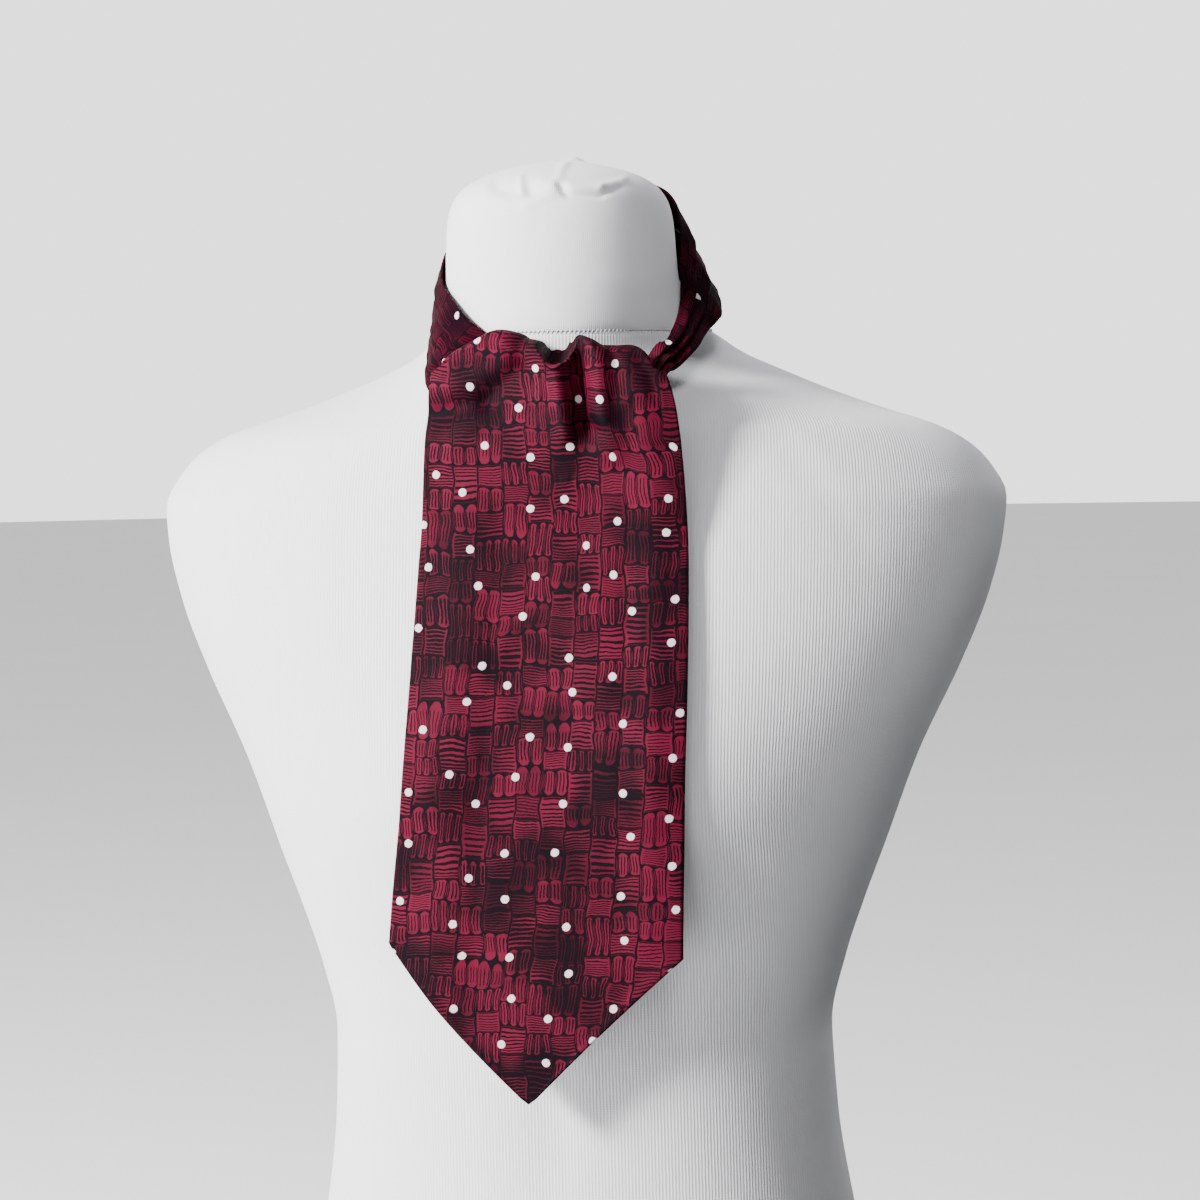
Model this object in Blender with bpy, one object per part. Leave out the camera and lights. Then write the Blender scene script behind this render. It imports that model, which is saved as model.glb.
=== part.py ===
"""A wide pointed cravat, tied round the neck of a limbless dress form.

Sizes and tables are in millimetres and the meshes in metres, +Z up. The form faces -Y, and +X is its own
left, which is on the right of a picture taken from the front. The origin is under the middle of the base.
"""

import math
from collections import namedtuple

import bmesh
import bpy
import numpy as np

COLLECTION = "cravat_on_dress_form"
MM = 0.001

# Whole form
SEAM_HEIGHT = 613.0
NECK_CENTRE_Y = -39.0
WIDEST_SHARE = 0.97

# The tables measure depth from the middle of the shoulders. All is moved back by this, so that the origin is
# under the middle of the whole footprint.
SHIFT_BACK = 14.85

# Walls and the clear distances between them
SEAM_GAP = 0.3
REST_GAP = 0.7
UNDER_GAP = 1.0
BLADE_WALL = 2.4
UNDER_WALL = 2.0
BAND_WALL = 2.4
WRAP_WALL = 3.5
BLEND = 1.2
SHARP_DEGREES = 50.0

# Neckband pleats, laid one over the next like slates
PLEATS = 3
PLEAT_RISE = 1.7
PLEAT_STEP_SHARE = 0.16
PLEATS_FADE = (-48.0, -30.0)
BAND_RADIUS = 61.0
BAND_SAMPLES = 13
EDGE_CLAMP = 0.04
EDGE_POWER = 0.25

# Blade ends
CORNER_HEIGHT = 305.0
CORNER_SLANT = 6.6
TIP_HEIGHT = 229.0
TIP_X = -6.8
TIP_WIDTH = 1.6
POINT_BULGE_LEFT = 4.4
POINT_BULGE_RIGHT = 1.5
UNDER_CORNER_HEIGHT = 330.0
HALF_BLADE = 72.0
UNDER_TIP_HEIGHT = 258.0
UNDER_TIP_X = -2.0
UNDER_MIDDLE_X = 5.0

# Distances of the throat layers from the form, inner face of each
BAND_END_OUT = 0.5
REAR_LAYER_OUT = 3.9
WRAP_OUT = 7.1
FRONT_LAYER_OUT = 14.8
WRAP_LOW = 570.0
WRAP_TOP = 590.0
REAR_LOW = 573.0
REAR_TOP = 612.0
TURN_DEPTH = 6.0

# How the front blade stands off: from under the throat's layers to lying on the under blade, further out at
# its sides at the throat, and with the troughs of its folds made shallower below it
THROAT_FROM, THROAT_TO = 500.0, 572.0
SIDE_OUT = 2.5
SIDE_MIDDLE_X = 8.0
SIDE_FROM, SIDE_TO = 20.0, 60.0
CALM_BELOW = 540.0
CALM_SHARE = 0.35

# How far a hanging blade bows back at its sides: at its low end and more at the throat
BOW_LOW = 3.0
BOW_MORE = 9.0
BOW_FROM, BOW_TO = 430.0, 600.0
BOW_REACH = 1.2

# Heights, with their step, and the width over which the hang of the cloth is worked out
HANG_SPAN = (200.0, 620.0, 4.0)
HANG_WIDTH = (-62.0, 78.0)

# The form's radius is found between these, by halving
RADIUS_SEARCH = (15.0, 240.0)
RADIUS_HALVINGS = 40

# How fine the meshes are
FORM_COLUMNS = 40
BLADE_COLUMNS = 29
UNDER_COLUMNS = 11
UNDER_STEP = 22.0
TORSO_STEP = 22.0
NECK_STEP = 9.0
PLEAT_POINTS = 3
TURN_ROWS = 6
REAR_SHARES = (0.0, 0.34, 0.67)
UNDER_POINT_SHARES = (0.25, 0.5, 0.75, 1.0)
POINT_SHARES = (0.2, 0.4, 0.6, 0.8, 1.0)

# The falling rows of the front blade, from its lip (1) to its corners (0): closer where it is ruffled
FallRows = namedtuple("FallRows", "start end step")
FALL_ROWS = (
    FallRows(1.0, 0.86, 0.035),
    FallRows(0.86, 0.70, 0.054),
    FallRows(0.70, 0.0, 0.08),
)

# Cross sections of the torso, from the base up: half width, how far the front and the back stand from the
# middle, how square the outline is, and how far its ends lie back from its middle.
Ring = namedtuple("Ring", "height half_width front back square skew")
TORSO_RINGS = (
    Ring(0, 160, 101, 101, 2.3, 0),
    Ring(12, 162, 103, 103, 2.3, 0),
    Ring(45, 161, 105, 106, 2.3, 0),
    Ring(95, 152, 105, 105, 2.3, 0),
    Ring(150, 141, 105, 97, 2.25, 0),
    Ring(205, 133.5, 107, 88, 2.2, 0),
    Ring(250, 131.5, 110, 84, 2.2, 0),
    Ring(285, 139, 114, 88, 2.25, 2),
    Ring(312, 148, 119, 93, 2.3, 4),
    Ring(345, 160.5, 124, 97, 2.3, 6),
    Ring(392, 178, 127, 102, 2.35, 9),
    Ring(440, 201, 125, 104, 2.4, 13),
    Ring(475, 215, 121, 101, 2.45, 16),
    Ring(505, 222.5, 117, 96, 2.45, 18),
    Ring(525, 224.5, 114, 91, 2.4, 20),
    Ring(541, 217, 111, 86, 2.25, 20),
    Ring(552, 207, 109, 80, 2.1, 20),
    Ring(562, 190, 107, 73, 2.0, 20),
    Ring(572, 160, 105, 66, 1.9, 26),
    Ring(582, 132, 103, 58, 1.85, 34),
    Ring(592, 108, 101.5, 51, 1.85, 40),
    Ring(603, 85, 100.5, 43, 1.9, 38),
    Ring(SEAM_HEIGHT, 73, 100, 36, 1.95, 25),
)
NECK_RINGS = (
    Ring(SEAM_HEIGHT + SEAM_GAP, 72.7, 100, 35.8, 1.95, 25),
    Ring(621, 66.8, 99.5, 31, 2.0, 14),
    Ring(630, 62.6, 99.3, 27, 2.0, 6),
    Ring(642, 60.0, 99.8, 23, 2.0, 0),
    Ring(656, 59.2, 100.6, 20.5, 2.05, 0),
    Ring(670, 58.0, 100.8, 19.5, 2.1, 0),
    Ring(679, 55.8, 99.6, 18.6, 2.1, 0),
    Ring(686.5, 51.0, 95.5, 16.5, 2.1, 0),
    Ring(692, 43.5, 87.5, 11.5, 2.05, 0),
    Ring(696.2, 33, 76, 3, 2.0, 0),
    Ring(699.5, 20, 62, -9, 2.0, 0),
    Ring(701.5, 7, 46, -25, 2.0, 0),
)

# Soft swells (+) and hollows (-) of the form. Those at x > 0 are on both sides. side is -1 in front.
Swell = namedtuple("Swell", "side x height wide up down rise")
SWELLS = (
    Swell(-1, 74, 372, 46, 62, 34, 9.0),
    Swell(-1, 0, 395, 17, 70, 60, -4.5),
    Swell(-1, 0, 250, 13, 45, 60, -2.5),
    Swell(-1, 62, 296, 40, 16, 22, -4.0),
    Swell(1, 0, 395, 20, 120, 130, -8.0),
    Swell(1, 84, 455, 40, 45, 70, 5.0),
    Swell(1, 58, 70, 42, 50, 60, 5.0),
)

# Edges of the falling blades, from the throat down to the corners
Edges = namedtuple("Edges", "height left right")
FRONT_EDGES = (
    Edges(612, -48.0, 59.0),
    Edges(598, -51.5, 62.5),
    Edges(586, -53.8, 67.0),
    Edges(576, -54.6, 69.6),
    Edges(556, -55.7, 72.5),
    Edges(530, -57.0, 74.4),
    Edges(497, -59.8, 75.2),
    Edges(464, -62.0, 75.3),
    Edges(426, -64.7, 74.7),
    Edges(386, -68.0, 73.5),
    Edges(331, -74.2, 71.8),
    Edges(CORNER_HEIGHT, -76.7, 71.1),
)
UNDER_EDGES = (
    Edges(567.0, -42.0, 6.0),
    Edges(550, -46.0, 34.0),
    Edges(520, -49.0, 56.0),
    Edges(465, -53.0, 63.0),
    Edges(400, -60.0, 64.0),
    Edges(UNDER_CORNER_HEIGHT, -65.0, 63.0),
)

# The turned-over top: heights of its front lip and of the layer behind it, across the throat. They make
# the ruffle's humps and the low place between them.
Lip = namedtuple("Lip", "x front rear")
LIPS = (
    Lip(-54, 585.0, 592.0),
    Lip(-50.5, 599.5, 601.0),
    Lip(-45, 605.2, 605.5),
    Lip(-33, 611.2, 611.0),
    Lip(-23, 615.6, 614.5),
    Lip(-15.4, 613.0, 613.0),
    Lip(-10, 608.5, 610.5),
    Lip(-1, 607.3, 609.0),
    Lip(5, 601.3, 605.5),
    Lip(12.5, 596.2, 604.0),
    Lip(17.5, 599.5, 604.5),
    Lip(22, 607.2, 607.0),
    Lip(28.5, 610.2, 610.0),
    Lip(34, 608.0, 609.0),
    Lip(40, 604.5, 606.5),
    Lip(48, 604.6, 605.8),
    Lip(56, 605.2, 605.0),
    Lip(61, 599.0, 600.0),
    Lip(66, 589.0, 592.0),
)
REAR_LEFT, REAR_RIGHT = -23.0, 36.0

# Folds of the front blade: a trough (-) or ridge (+) along a line from one end to the other
Fold = namedtuple("Fold", "x z end_x end_z half_width rise")
FRONT_FOLDS = (
    Fold(22, 604, 27, 566, 7.5, -6.5),
    Fold(34, 600, 36, 556, 8.5, 3.0),
    Fold(11, 590, 16, 560, 9.0, 1.8),
    Fold(-46, 588, -17, 599, 11.0, 4.0),
    Fold(-53, 573, -25, 579, 5.0, -2.2),
    Fold(-25, 579, -7, 597, 5.0, -2.4),
    Fold(49, 596, 57, 560, 9.0, 1.6),
    Fold(16, 520, 2, 300, 26.0, -2.0),
    Fold(-38, 520, -54, 280, 18.0, 1.2),
    Fold(61, 540, 58, 320, 14.0, 1.4),
)

# The neckband, by its angle round the neck (0 in front, positive towards +X): distance from the neck's
# middle and height of its upper and lower edges
Band = namedtuple("Band", "angle upper upper_height lower lower_height")
BAND_ROWS = (
    Band(-180, 61.5, 690, 64, 647),
    Band(-160, 61.5, 686, 64, 644),
    Band(-138, 61.0, 679, 64, 638),
    Band(-116, 60.5, 668, 64.5, 630),
    Band(-96, 60.0, 657, 65, 621),
    Band(-80, 60.0, 646.5, 65.5, 609),
    Band(-66, 60.0, 637.0, 69, 598),
    Band(-52, 60.5, 628.5, 75, 585),
    Band(-40, 61.0, 620.0, 77, 573),
    Band(-30, 59.0, 613.0, 64, 568.3),
    Band(-16, 55.5, 604.0, 58, 568.3),
    Band(52, 74, 606.5, 80, 592),
    Band(62, 70, 613, 81, 600),
    Band(76, 65, 628, 77, 610),
    Band(90, 60.5, 647, 79.5, 619),
    Band(104, 60.0, 666, 77, 630),
    Band(120, 60.5, 682, 73, 637),
    Band(140, 61.5, 690, 68, 640),
    Band(160, 62.0, 692, 65, 644),
    Band(180, 61.5, 690, 64, 647),
)
BAND_ENDS = {
    "neckband_left": (-120.0, -16.0, 19),
    "neckband_right": (52.0, 120.0, 15),
    "neckband_back": (120.0, 240.0, 17),
}
WRAP_ANGLES = (-30.0, 52.0, 17)
WRAP_JOIN = (41.0, 51.0)

Finish = namedtuple("Finish", "colour roughness")
CRAVAT_CLOTH = Finish((0.31, 0.022, 0.05, 1.0), 0.42)
JERSEY_COVER = Finish((0.78, 0.79, 0.81, 1.0), 0.85)


def smooth(xs, ys, at):
    """Reads a row of values between its given places, along a curve that never overshoots them."""
    xs, ys = np.asarray(xs, float), np.asarray(ys, float)
    step, slope = np.diff(xs), np.diff(ys) / np.diff(xs)
    tangent = np.zeros_like(ys)
    tangent[0], tangent[-1] = slope[0], slope[-1]
    same = slope[:-1] * slope[1:] > 0
    w1, w2 = 2 * step[1:] + step[:-1], step[1:] + 2 * step[:-1]
    inner = np.zeros(len(slope) - 1)
    inner[same] = (w1 + w2)[same] / (w1[same] / slope[:-1][same] + w2[same] / slope[1:][same])
    tangent[1:-1] = inner
    at = np.clip(np.asarray(at, float), xs[0], xs[-1])
    k = np.clip(np.searchsorted(xs, at, side="right") - 1, 0, len(step) - 1)
    t = (at - xs[k]) / step[k]
    return (
        (1 + 2 * t) * (1 - t) ** 2 * ys[k]
        + t * (1 - t) ** 2 * step[k] * tangent[k]
        + t * t * (3 - 2 * t) * ys[k + 1]
        + t * t * (t - 1) * step[k] * tangent[k + 1]
    )


def column(rows, name, at, by):
    """One named column of a table, read at any place along another."""
    order = sorted(rows, key=lambda row: getattr(row, by))
    return smooth([getattr(r, by) for r in order], [getattr(r, name) for r in order], at)


def ease(value, low, high):
    """0 below low, 1 above high and a soft step between."""
    t = np.clip((np.asarray(value, float) - low) / (high - low), 0, 1)
    return t * t * (3 - 2 * t)


def larger(a, b, blend=BLEND):
    """The larger of two distances, rounded where they cross and never less than either."""
    return 0.5 * (a + b + np.sqrt((a - b) ** 2 + blend**2))


def form_ring(height, rows=TORSO_RINGS + NECK_RINGS[1:]):
    """Half width, middle, half depth, squareness and skew of the form at a height."""
    names = ("half_width", "front", "back", "square", "skew")
    width, front, back, square, skew = (column(rows, name, height, "height") for name in names)
    return width, (back - front) / 2, (back + front) / 2, square, skew


def swell(side, x, height):
    """How far the form's soft swells push its front or back out."""
    total = np.zeros(np.broadcast(x, height).shape)
    for row in SWELLS:
        if row.side != side:
            continue
        tall = np.where(height > row.height, row.up, row.down)
        for mirrored in {row.x, -row.x}:
            far = ((x - mirrored) / row.wide) ** 2 + ((height - row.height) / tall) ** 2
            total += row.rise * np.exp(-far)
    return total


def form_front(x, height):
    """How far the form's front stands forward of the middle."""
    width, middle, depth, square, skew = form_ring(height)
    share = np.clip(np.abs(x) / width, 0, WIDEST_SHARE)
    bulge = (1 - share**square) ** (1 / square)
    return depth * bulge - middle - skew * share**2 + swell(-1, x, height) * bulge


def form_radius(angle, height):
    """Distance from the neck's middle to the form's surface, at an angle round it and a height."""
    width, middle, depth, square, skew = form_ring(height)
    low, high = (np.full(np.shape(height), far) for far in RADIUS_SEARCH)
    for _ in range(RADIUS_HALVINGS):
        r = (low + high) / 2
        x, y = r * np.sin(angle), NECK_CENTRE_Y - r * np.cos(angle)
        leant = y - middle - skew * (x / width) ** 2
        inside = np.abs(x / width) ** square + np.abs(leant / depth) ** square < 1
        low, high = np.where(inside, r, low), np.where(inside, high, r)
    return low


def fold_rise(folds, x, z):
    """The sum of the folds at a place on the cloth."""
    total = np.zeros(np.broadcast(x, z).shape)
    for f in folds:
        dx, dz = f.end_x - f.x, f.end_z - f.z
        t = np.clip(((x - f.x) * dx + (z - f.z) * dz) / (dx * dx + dz * dz), 0, 1)
        far = np.hypot(x - f.x - t * dx, z - f.z - t * dz)
        total += f.rise * np.exp(-((far / f.half_width) ** 2))
    return total


def material(name, finish):
    """A plain Principled material."""
    made = bpy.data.materials.new(name)
    made.use_nodes = True
    shader = made.node_tree.nodes["Principled BSDF"]
    shader.inputs["Base Color"].default_value = finish.colour
    shader.inputs["Roughness"].default_value = finish.roughness
    made.diffuse_color = finish.colour
    return made


def add_object(name, bm, finish):
    """Turns a bmesh in millimetres into a smooth-shaded object in metres, in the part's collection."""
    bmesh.ops.translate(bm, vec=(0, SHIFT_BACK, 0), verts=bm.verts)
    bmesh.ops.scale(bm, vec=(MM, MM, MM), verts=bm.verts)
    mesh = bpy.data.meshes.new(name)
    bm.to_mesh(mesh)
    bm.free()
    mesh.shade_smooth()
    mesh.set_sharp_from_angle(angle=math.radians(SHARP_DEGREES))
    mesh.materials.append(material(name, finish))
    made = bpy.data.objects.new(name, mesh)
    bpy.data.collections[COLLECTION].objects.link(made)
    return made


def loft(rings, paired_ends):
    """A closed solid through closed rings of points, with the faces pointing out.

    With paired_ends the first half of a ring is one face of a wall and the second half, backwards, the
    other, so an end is closed by quads between the two. Otherwise an end is one flat face.
    """
    bm = bmesh.new()
    rows = [[bm.verts.new(p) for p in ring] for ring in rings]
    count = len(rows[0])
    for low, high in zip(rows, rows[1:]):
        for i in range(count):
            j = (i + 1) % count
            bm.faces.new((low[i], low[j], high[j], high[i]))
    for end in (rows[0], rows[-1]):
        if paired_ends:
            for i in range(count // 2 - 1):
                bm.faces.new((end[i], end[i + 1], end[count - 2 - i], end[count - 1 - i]))
        else:
            bm.faces.new(end)
    bmesh.ops.recalc_face_normals(bm, faces=bm.faces)
    bmesh.ops.triangulate(bm, faces=bm.faces)
    return bm


def between(heights, longest):
    """The given heights with more between them, so that no step is longer than the one asked for."""
    out = [heights[0]]
    for low, high in zip(heights, heights[1:]):
        steps = max(1, math.ceil(abs(high - low) / longest))
        out.extend(low + (high - low) * (i + 1) / steps for i in range(steps))
    return out


def form_points(heights, rows):
    """Rings of points round the form at the given heights."""
    turn = np.linspace(0, 2 * math.pi, FORM_COLUMNS, endpoint=False)
    rings = []
    for height in heights:
        width, middle, depth, square, skew = form_ring(height, rows)
        c, s = np.cos(turn), np.sin(turn)
        x = width * np.sign(c) * np.abs(c) ** (2 / square)
        bulge = np.sign(s) * np.abs(s) ** (2 / square)
        y = middle + depth * bulge + skew * (x / width) ** 2
        y += np.where(s < 0, swell(-1, x, height), swell(1, x, height)) * bulge
        rings.append(np.stack([x, y, np.full_like(x, height)], 1))
    return rings


def make_torso():
    """The limbless torso, from its flat base to the seam at the neck."""
    heights = between([row.height for row in TORSO_RINGS], TORSO_STEP)
    return add_object("dress_form_torso", loft(form_points(heights, TORSO_RINGS), False), JERSEY_COVER)


def make_neck():
    """The neck above the seam, closed by a low dome."""
    heights = between([row.height for row in NECK_RINGS], NECK_STEP)
    return add_object("dress_form_neck", loft(form_points(heights, NECK_RINGS), False), JERSEY_COVER)


def slates(count_points, share):
    """Places across a pleated strip and how far each pleat stands out there, 0 to 1."""
    places, rise = [], []
    for k in range(PLEATS):
        for i in range(count_points):
            t = i / count_points
            places.append((k + t * (1 - share)) / PLEATS)
            rise.append(t)
        places.append((k + 1 - share) / PLEATS)
        rise.append(1.0)
    places.append(1.0)
    rise.append(0.0)
    return np.array(places), np.array(rise)


def polar(angle, radius, height):
    """A point at an angle round the neck."""
    return np.stack([radius * np.sin(angle), NECK_CENTRE_Y - radius * np.cos(angle), height], -1)


def strip_ring(angle, inner, height, wall, pleat_rise):
    """The closed section of a pleated strip at one angle: its outer face, then its inner face back."""
    places, rise = slates(PLEAT_POINTS, PLEAT_STEP_SHARE)
    across = np.linspace(0, 1, len(inner))
    r, z = np.interp(places, across, inner), np.interp(places, across, height)
    dr, dz = np.gradient(r), np.gradient(z)
    length = np.hypot(dr, dz)
    out_r, out_z = -dz / length, dr / length
    edge = np.sin(math.pi * np.clip(places, EDGE_CLAMP, 1 - EDGE_CLAMP)) ** EDGE_POWER
    thick = (wall + pleat_rise * rise) * edge
    outer = polar(angle, r + out_r * thick, z + out_z * thick)
    return np.concatenate([outer, polar(angle, r, z)[::-1]])


def band_edges(angle):
    """Radius and height of the neckband's upper edge, then of its lower edge, at an angle."""
    names = ("upper", "upper_height", "lower", "lower_height")
    return [float(column(BAND_ROWS, name, angle, "angle")) for name in names]


def make_band(name, start, end, stations):
    """A stretch of the neckband between two angles, its ends half a gap short of them."""
    short = math.degrees(SEAM_GAP / 2 / BAND_RADIUS)
    u = np.linspace(0, 1, BAND_SAMPLES)
    rings = []
    for angle in np.linspace(start + short, end - short, stations):
        wrapped = angle if angle <= 180 else angle - 360
        upper, top, lower, low = band_edges(wrapped)
        turn = math.radians(wrapped)
        z = top + (low - top) * u
        r = larger(upper + (lower - upper) * u, form_radius(turn, z) + BAND_END_OUT)
        pleat = PLEAT_RISE * (1 - ease(wrapped, *PLEATS_FADE) * (wrapped < 0))
        rings.append(strip_ring(turn, r, z, BAND_WALL, pleat))
    return add_object(name, loft(rings, True), CRAVAT_CLOTH)


def make_wrap():
    """The crossing at the throat: it carries on from the right band and ends under the blade."""
    first, last, stations = WRAP_ANGLES
    upper, top, lower, low = band_edges(last)
    u = np.linspace(0, 1, BAND_SAMPLES)
    rings = []
    for angle in np.linspace(first, last - math.degrees(SEAM_GAP / 2 / BAND_RADIUS), stations):
        turn = math.radians(angle)
        join = float(ease(angle, *WRAP_JOIN))
        z = (WRAP_TOP + (top - WRAP_TOP) * join) * (1 - u) + (WRAP_LOW + (low - WRAP_LOW) * join) * u
        form = form_radius(turn, z)
        band = larger(upper + (lower - upper) * u, form + BAND_END_OUT)
        r = (form + WRAP_OUT) * (1 - join) + band * join
        wall = WRAP_WALL + (BAND_WALL - WRAP_WALL) * join
        rings.append(strip_ring(turn, r, z, wall, PLEAT_RISE * join))
    return add_object("throat_wrap", loft(rings, True), CRAVAT_CLOTH)


def hang_profile():
    """Heights, and how far forward a cloth hung from the throat lies there: a taut line over the fullest
    places of the form and plumb below them."""
    heights = np.arange(*HANG_SPAN)
    x = np.linspace(*HANG_WIDTH, BLADE_COLUMNS)
    full = form_front(x[None, :], heights[:, None]).max(1)
    taut = full.copy()
    for i in range(len(heights)):
        for j in range(i + 2, len(heights)):
            t = (heights[i + 1 : j] - heights[i]) / (heights[j] - heights[i])
            line = full[i] + (full[j] - full[i]) * t
            taut[i + 1 : j] = np.maximum(taut[i + 1 : j], line)
    top = int(np.argmax(taut))
    taut[:top] = taut[top]
    return heights, taut


HANG_HEIGHTS, HANG = hang_profile()


def cloth_depth(x, z, middle, half_width):
    """How far forward the innermost hanging cloth lies, clear of the form."""
    across = np.clip((x - middle) / half_width, -BOW_REACH, BOW_REACH)
    bow = BOW_LOW + BOW_MORE * ease(z, BOW_FROM, BOW_TO)
    hung = np.interp(z, HANG_HEIGHTS, HANG) - bow * across**2
    return larger(form_front(x, z) + REST_GAP, hung)


def wall_rings(middle, wall):
    """Closed sections of a cloth wall on both sides of a grid of points."""
    down, across = np.gradient(middle, axis=0), np.gradient(middle, axis=1)
    normal = np.cross(across, down)
    normal /= np.linalg.norm(normal, axis=-1, keepdims=True)
    outer, inner = middle + normal * wall / 2, middle - normal * wall / 2
    return np.concatenate([outer, inner[:, ::-1]], 1)


def point_row(share, t, corners, corner, tip, tip_x):
    """Places across a blade's point, t of the way from its corners to its tip."""
    swollen = math.sin(math.pi * t)
    left = corner.left + (tip_x - TIP_WIDTH / 2 - corner.left) * t - POINT_BULGE_LEFT * swollen
    right = corner.right + (tip_x + TIP_WIDTH / 2 - corner.right) * t - POINT_BULGE_RIGHT * swollen
    return left + (right - left) * share, corners + (tip - corners) * t


def fall_row(share, z, edges):
    """Places across a falling blade at the given heights."""
    left, right = column(edges, "left", z, "height"), column(edges, "right", z, "height")
    return left + (right - left) * share


def make_under_blade():
    """The second end, plain, between the form and the front blade."""
    share = np.linspace(0, 1, UNDER_COLUMNS)
    top, corner = UNDER_EDGES[0], UNDER_EDGES[-1]
    corners = np.full_like(share, corner.height)
    rows = []
    for z in between([top.height, corner.height], UNDER_STEP):
        rows.append((fall_row(share, z, UNDER_EDGES), np.full_like(share, z)))
    for t in UNDER_POINT_SHARES:
        rows.append(point_row(share, t, corners, corner, UNDER_TIP_HEIGHT, UNDER_TIP_X))
    x, z = np.array([row[0] for row in rows]), np.array([row[1] for row in rows])
    depth = cloth_depth(x, z, UNDER_MIDDLE_X, HALF_BLADE) + UNDER_WALL / 2
    rings = wall_rings(np.stack([x, -depth, z], -1), UNDER_WALL)
    return add_object("under_blade", loft(rings, True), CRAVAT_CLOTH)


def front_depth(x, z):
    """How far forward the middle of the front blade's wall lies."""
    middle = (column(FRONT_EDGES, "left", z, "height") + column(FRONT_EDGES, "right", z, "height")) / 2
    base = cloth_depth(x, z, middle, HALF_BLADE)
    over_under = UNDER_WALL + UNDER_GAP
    over_wrap = FRONT_LAYER_OUT - REST_GAP + SIDE_OUT * ease(np.abs(x - SIDE_MIDDLE_X), SIDE_FROM, SIDE_TO)
    out = over_under + (over_wrap - over_under) * ease(z, THROAT_FROM, THROAT_TO)
    waves = fold_rise(FRONT_FOLDS, x, z)
    calm = np.where(z < CALM_BELOW, np.maximum(waves, 0) + CALM_SHARE * waves, waves)
    return base + out + np.maximum(calm, -out + over_under) + BLADE_WALL / 2


def make_front_blade():
    """The front blade: up behind the crossing, over in ruffles, and down to its point."""
    share = np.linspace(0, 1, BLADE_COLUMNS)
    left, right = FRONT_EDGES[0].left, FRONT_EDGES[0].right
    lip_x = left + (right - left) * share
    rear_x = REAR_LEFT + (REAR_RIGHT - REAR_LEFT) * share
    lip = column(LIPS, "front", lip_x, "x")
    rear = np.minimum(column(LIPS, "rear", lip_x, "x"), REAR_TOP)
    rear_out = REAR_LAYER_OUT + BLADE_WALL / 2

    front_y = -front_depth(lip_x, lip - TURN_DEPTH)
    rear_y = -(form_front(rear_x, rear - TURN_DEPTH) + rear_out)
    radius = np.abs(front_y - rear_y) / 2

    rows = []
    for t in REAR_SHARES:
        z = REAR_LOW + (rear - radius - REAR_LOW) * t
        rows.append(np.stack([rear_x, -(form_front(rear_x, z) + rear_out), z], -1))
    for turn in np.linspace(0, math.pi, TURN_ROWS + 1):
        across = (1 - math.cos(turn)) / 2
        x = rear_x + (lip_x - rear_x) * across
        y = rear_y + (front_y - rear_y) * across
        z = rear - radius + (lip - rear) * across + radius * math.sin(turn)
        rows.append(np.stack([x, y, z], -1))

    start = lip - radius
    slant = CORNER_SLANT * (0.5 - share)
    for stretch in FALL_ROWS:
        for t in between([stretch.start, stretch.end], stretch.step)[1:]:
            z = CORNER_HEIGHT + (start - CORNER_HEIGHT) * t + slant * (1 - t)
            x = fall_row(share, z, FRONT_EDGES)
            rows.append(np.stack([x, -front_depth(x, z), z], -1))
    for t in POINT_SHARES:
        x, z = point_row(share, t, CORNER_HEIGHT + slant, FRONT_EDGES[-1], TIP_HEIGHT, TIP_X)
        rows.append(np.stack([x, -front_depth(x, z), z], -1))
    return add_object("front_blade", loft(wall_rings(np.array(rows), BLADE_WALL), True), CRAVAT_CLOTH)


def main():
    """Clears the scene and makes the form and the cravat."""
    for item in list(bpy.data.objects):
        bpy.data.objects.remove(item, do_unlink=True)
    bpy.context.scene.collection.children.link(bpy.data.collections.new(COLLECTION))
    make_torso()
    make_neck()
    for name, (start, end, stations) in BAND_ENDS.items():
        make_band(name, start, end, stations)
    make_wrap()
    make_under_blade()
    make_front_blade()


main()
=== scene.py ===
"""A wide pointed cravat, tied round the neck of a limbless dress form.

Tables and sizes are in millimetres and the meshes in metres, +Z up. The form faces -Y, and +X is its own
left, which is on the right of a picture taken from the front. Each sub-assembly is a class with its own
sizes, and each finish a frozen dataclass that builds its material from nodes.
"""

from __future__ import annotations

import logging
import math
from dataclasses import dataclass, field
from enum import Enum
from typing import Any, NamedTuple, Sequence

import bmesh
import bpy
import numpy as np
from mathutils import Matrix, Vector

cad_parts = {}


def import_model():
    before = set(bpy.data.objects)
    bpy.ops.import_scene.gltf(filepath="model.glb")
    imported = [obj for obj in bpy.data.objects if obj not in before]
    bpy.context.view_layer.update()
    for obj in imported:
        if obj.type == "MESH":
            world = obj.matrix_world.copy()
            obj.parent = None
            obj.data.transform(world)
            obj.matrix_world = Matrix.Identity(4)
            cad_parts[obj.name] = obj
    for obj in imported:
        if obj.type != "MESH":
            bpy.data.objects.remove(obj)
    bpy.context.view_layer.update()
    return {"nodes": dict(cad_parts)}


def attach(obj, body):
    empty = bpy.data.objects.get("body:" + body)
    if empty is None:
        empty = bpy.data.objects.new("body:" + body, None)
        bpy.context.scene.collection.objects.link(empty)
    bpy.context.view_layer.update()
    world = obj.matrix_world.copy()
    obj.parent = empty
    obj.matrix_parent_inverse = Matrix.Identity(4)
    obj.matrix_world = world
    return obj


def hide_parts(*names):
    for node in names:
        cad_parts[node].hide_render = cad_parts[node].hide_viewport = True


LOG = logging.getLogger("cravat")
MM = 0.001
UV_NAME = "cloth"

# The tables measure depth from the middle of the shoulders. All is moved back by this.
SHIFT_BACK = 14.85


class Slot(Enum):
    """The record's material slots."""

    CRAVAT = "cravat_cloth"
    JERSEY = "jersey_cover"


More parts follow.
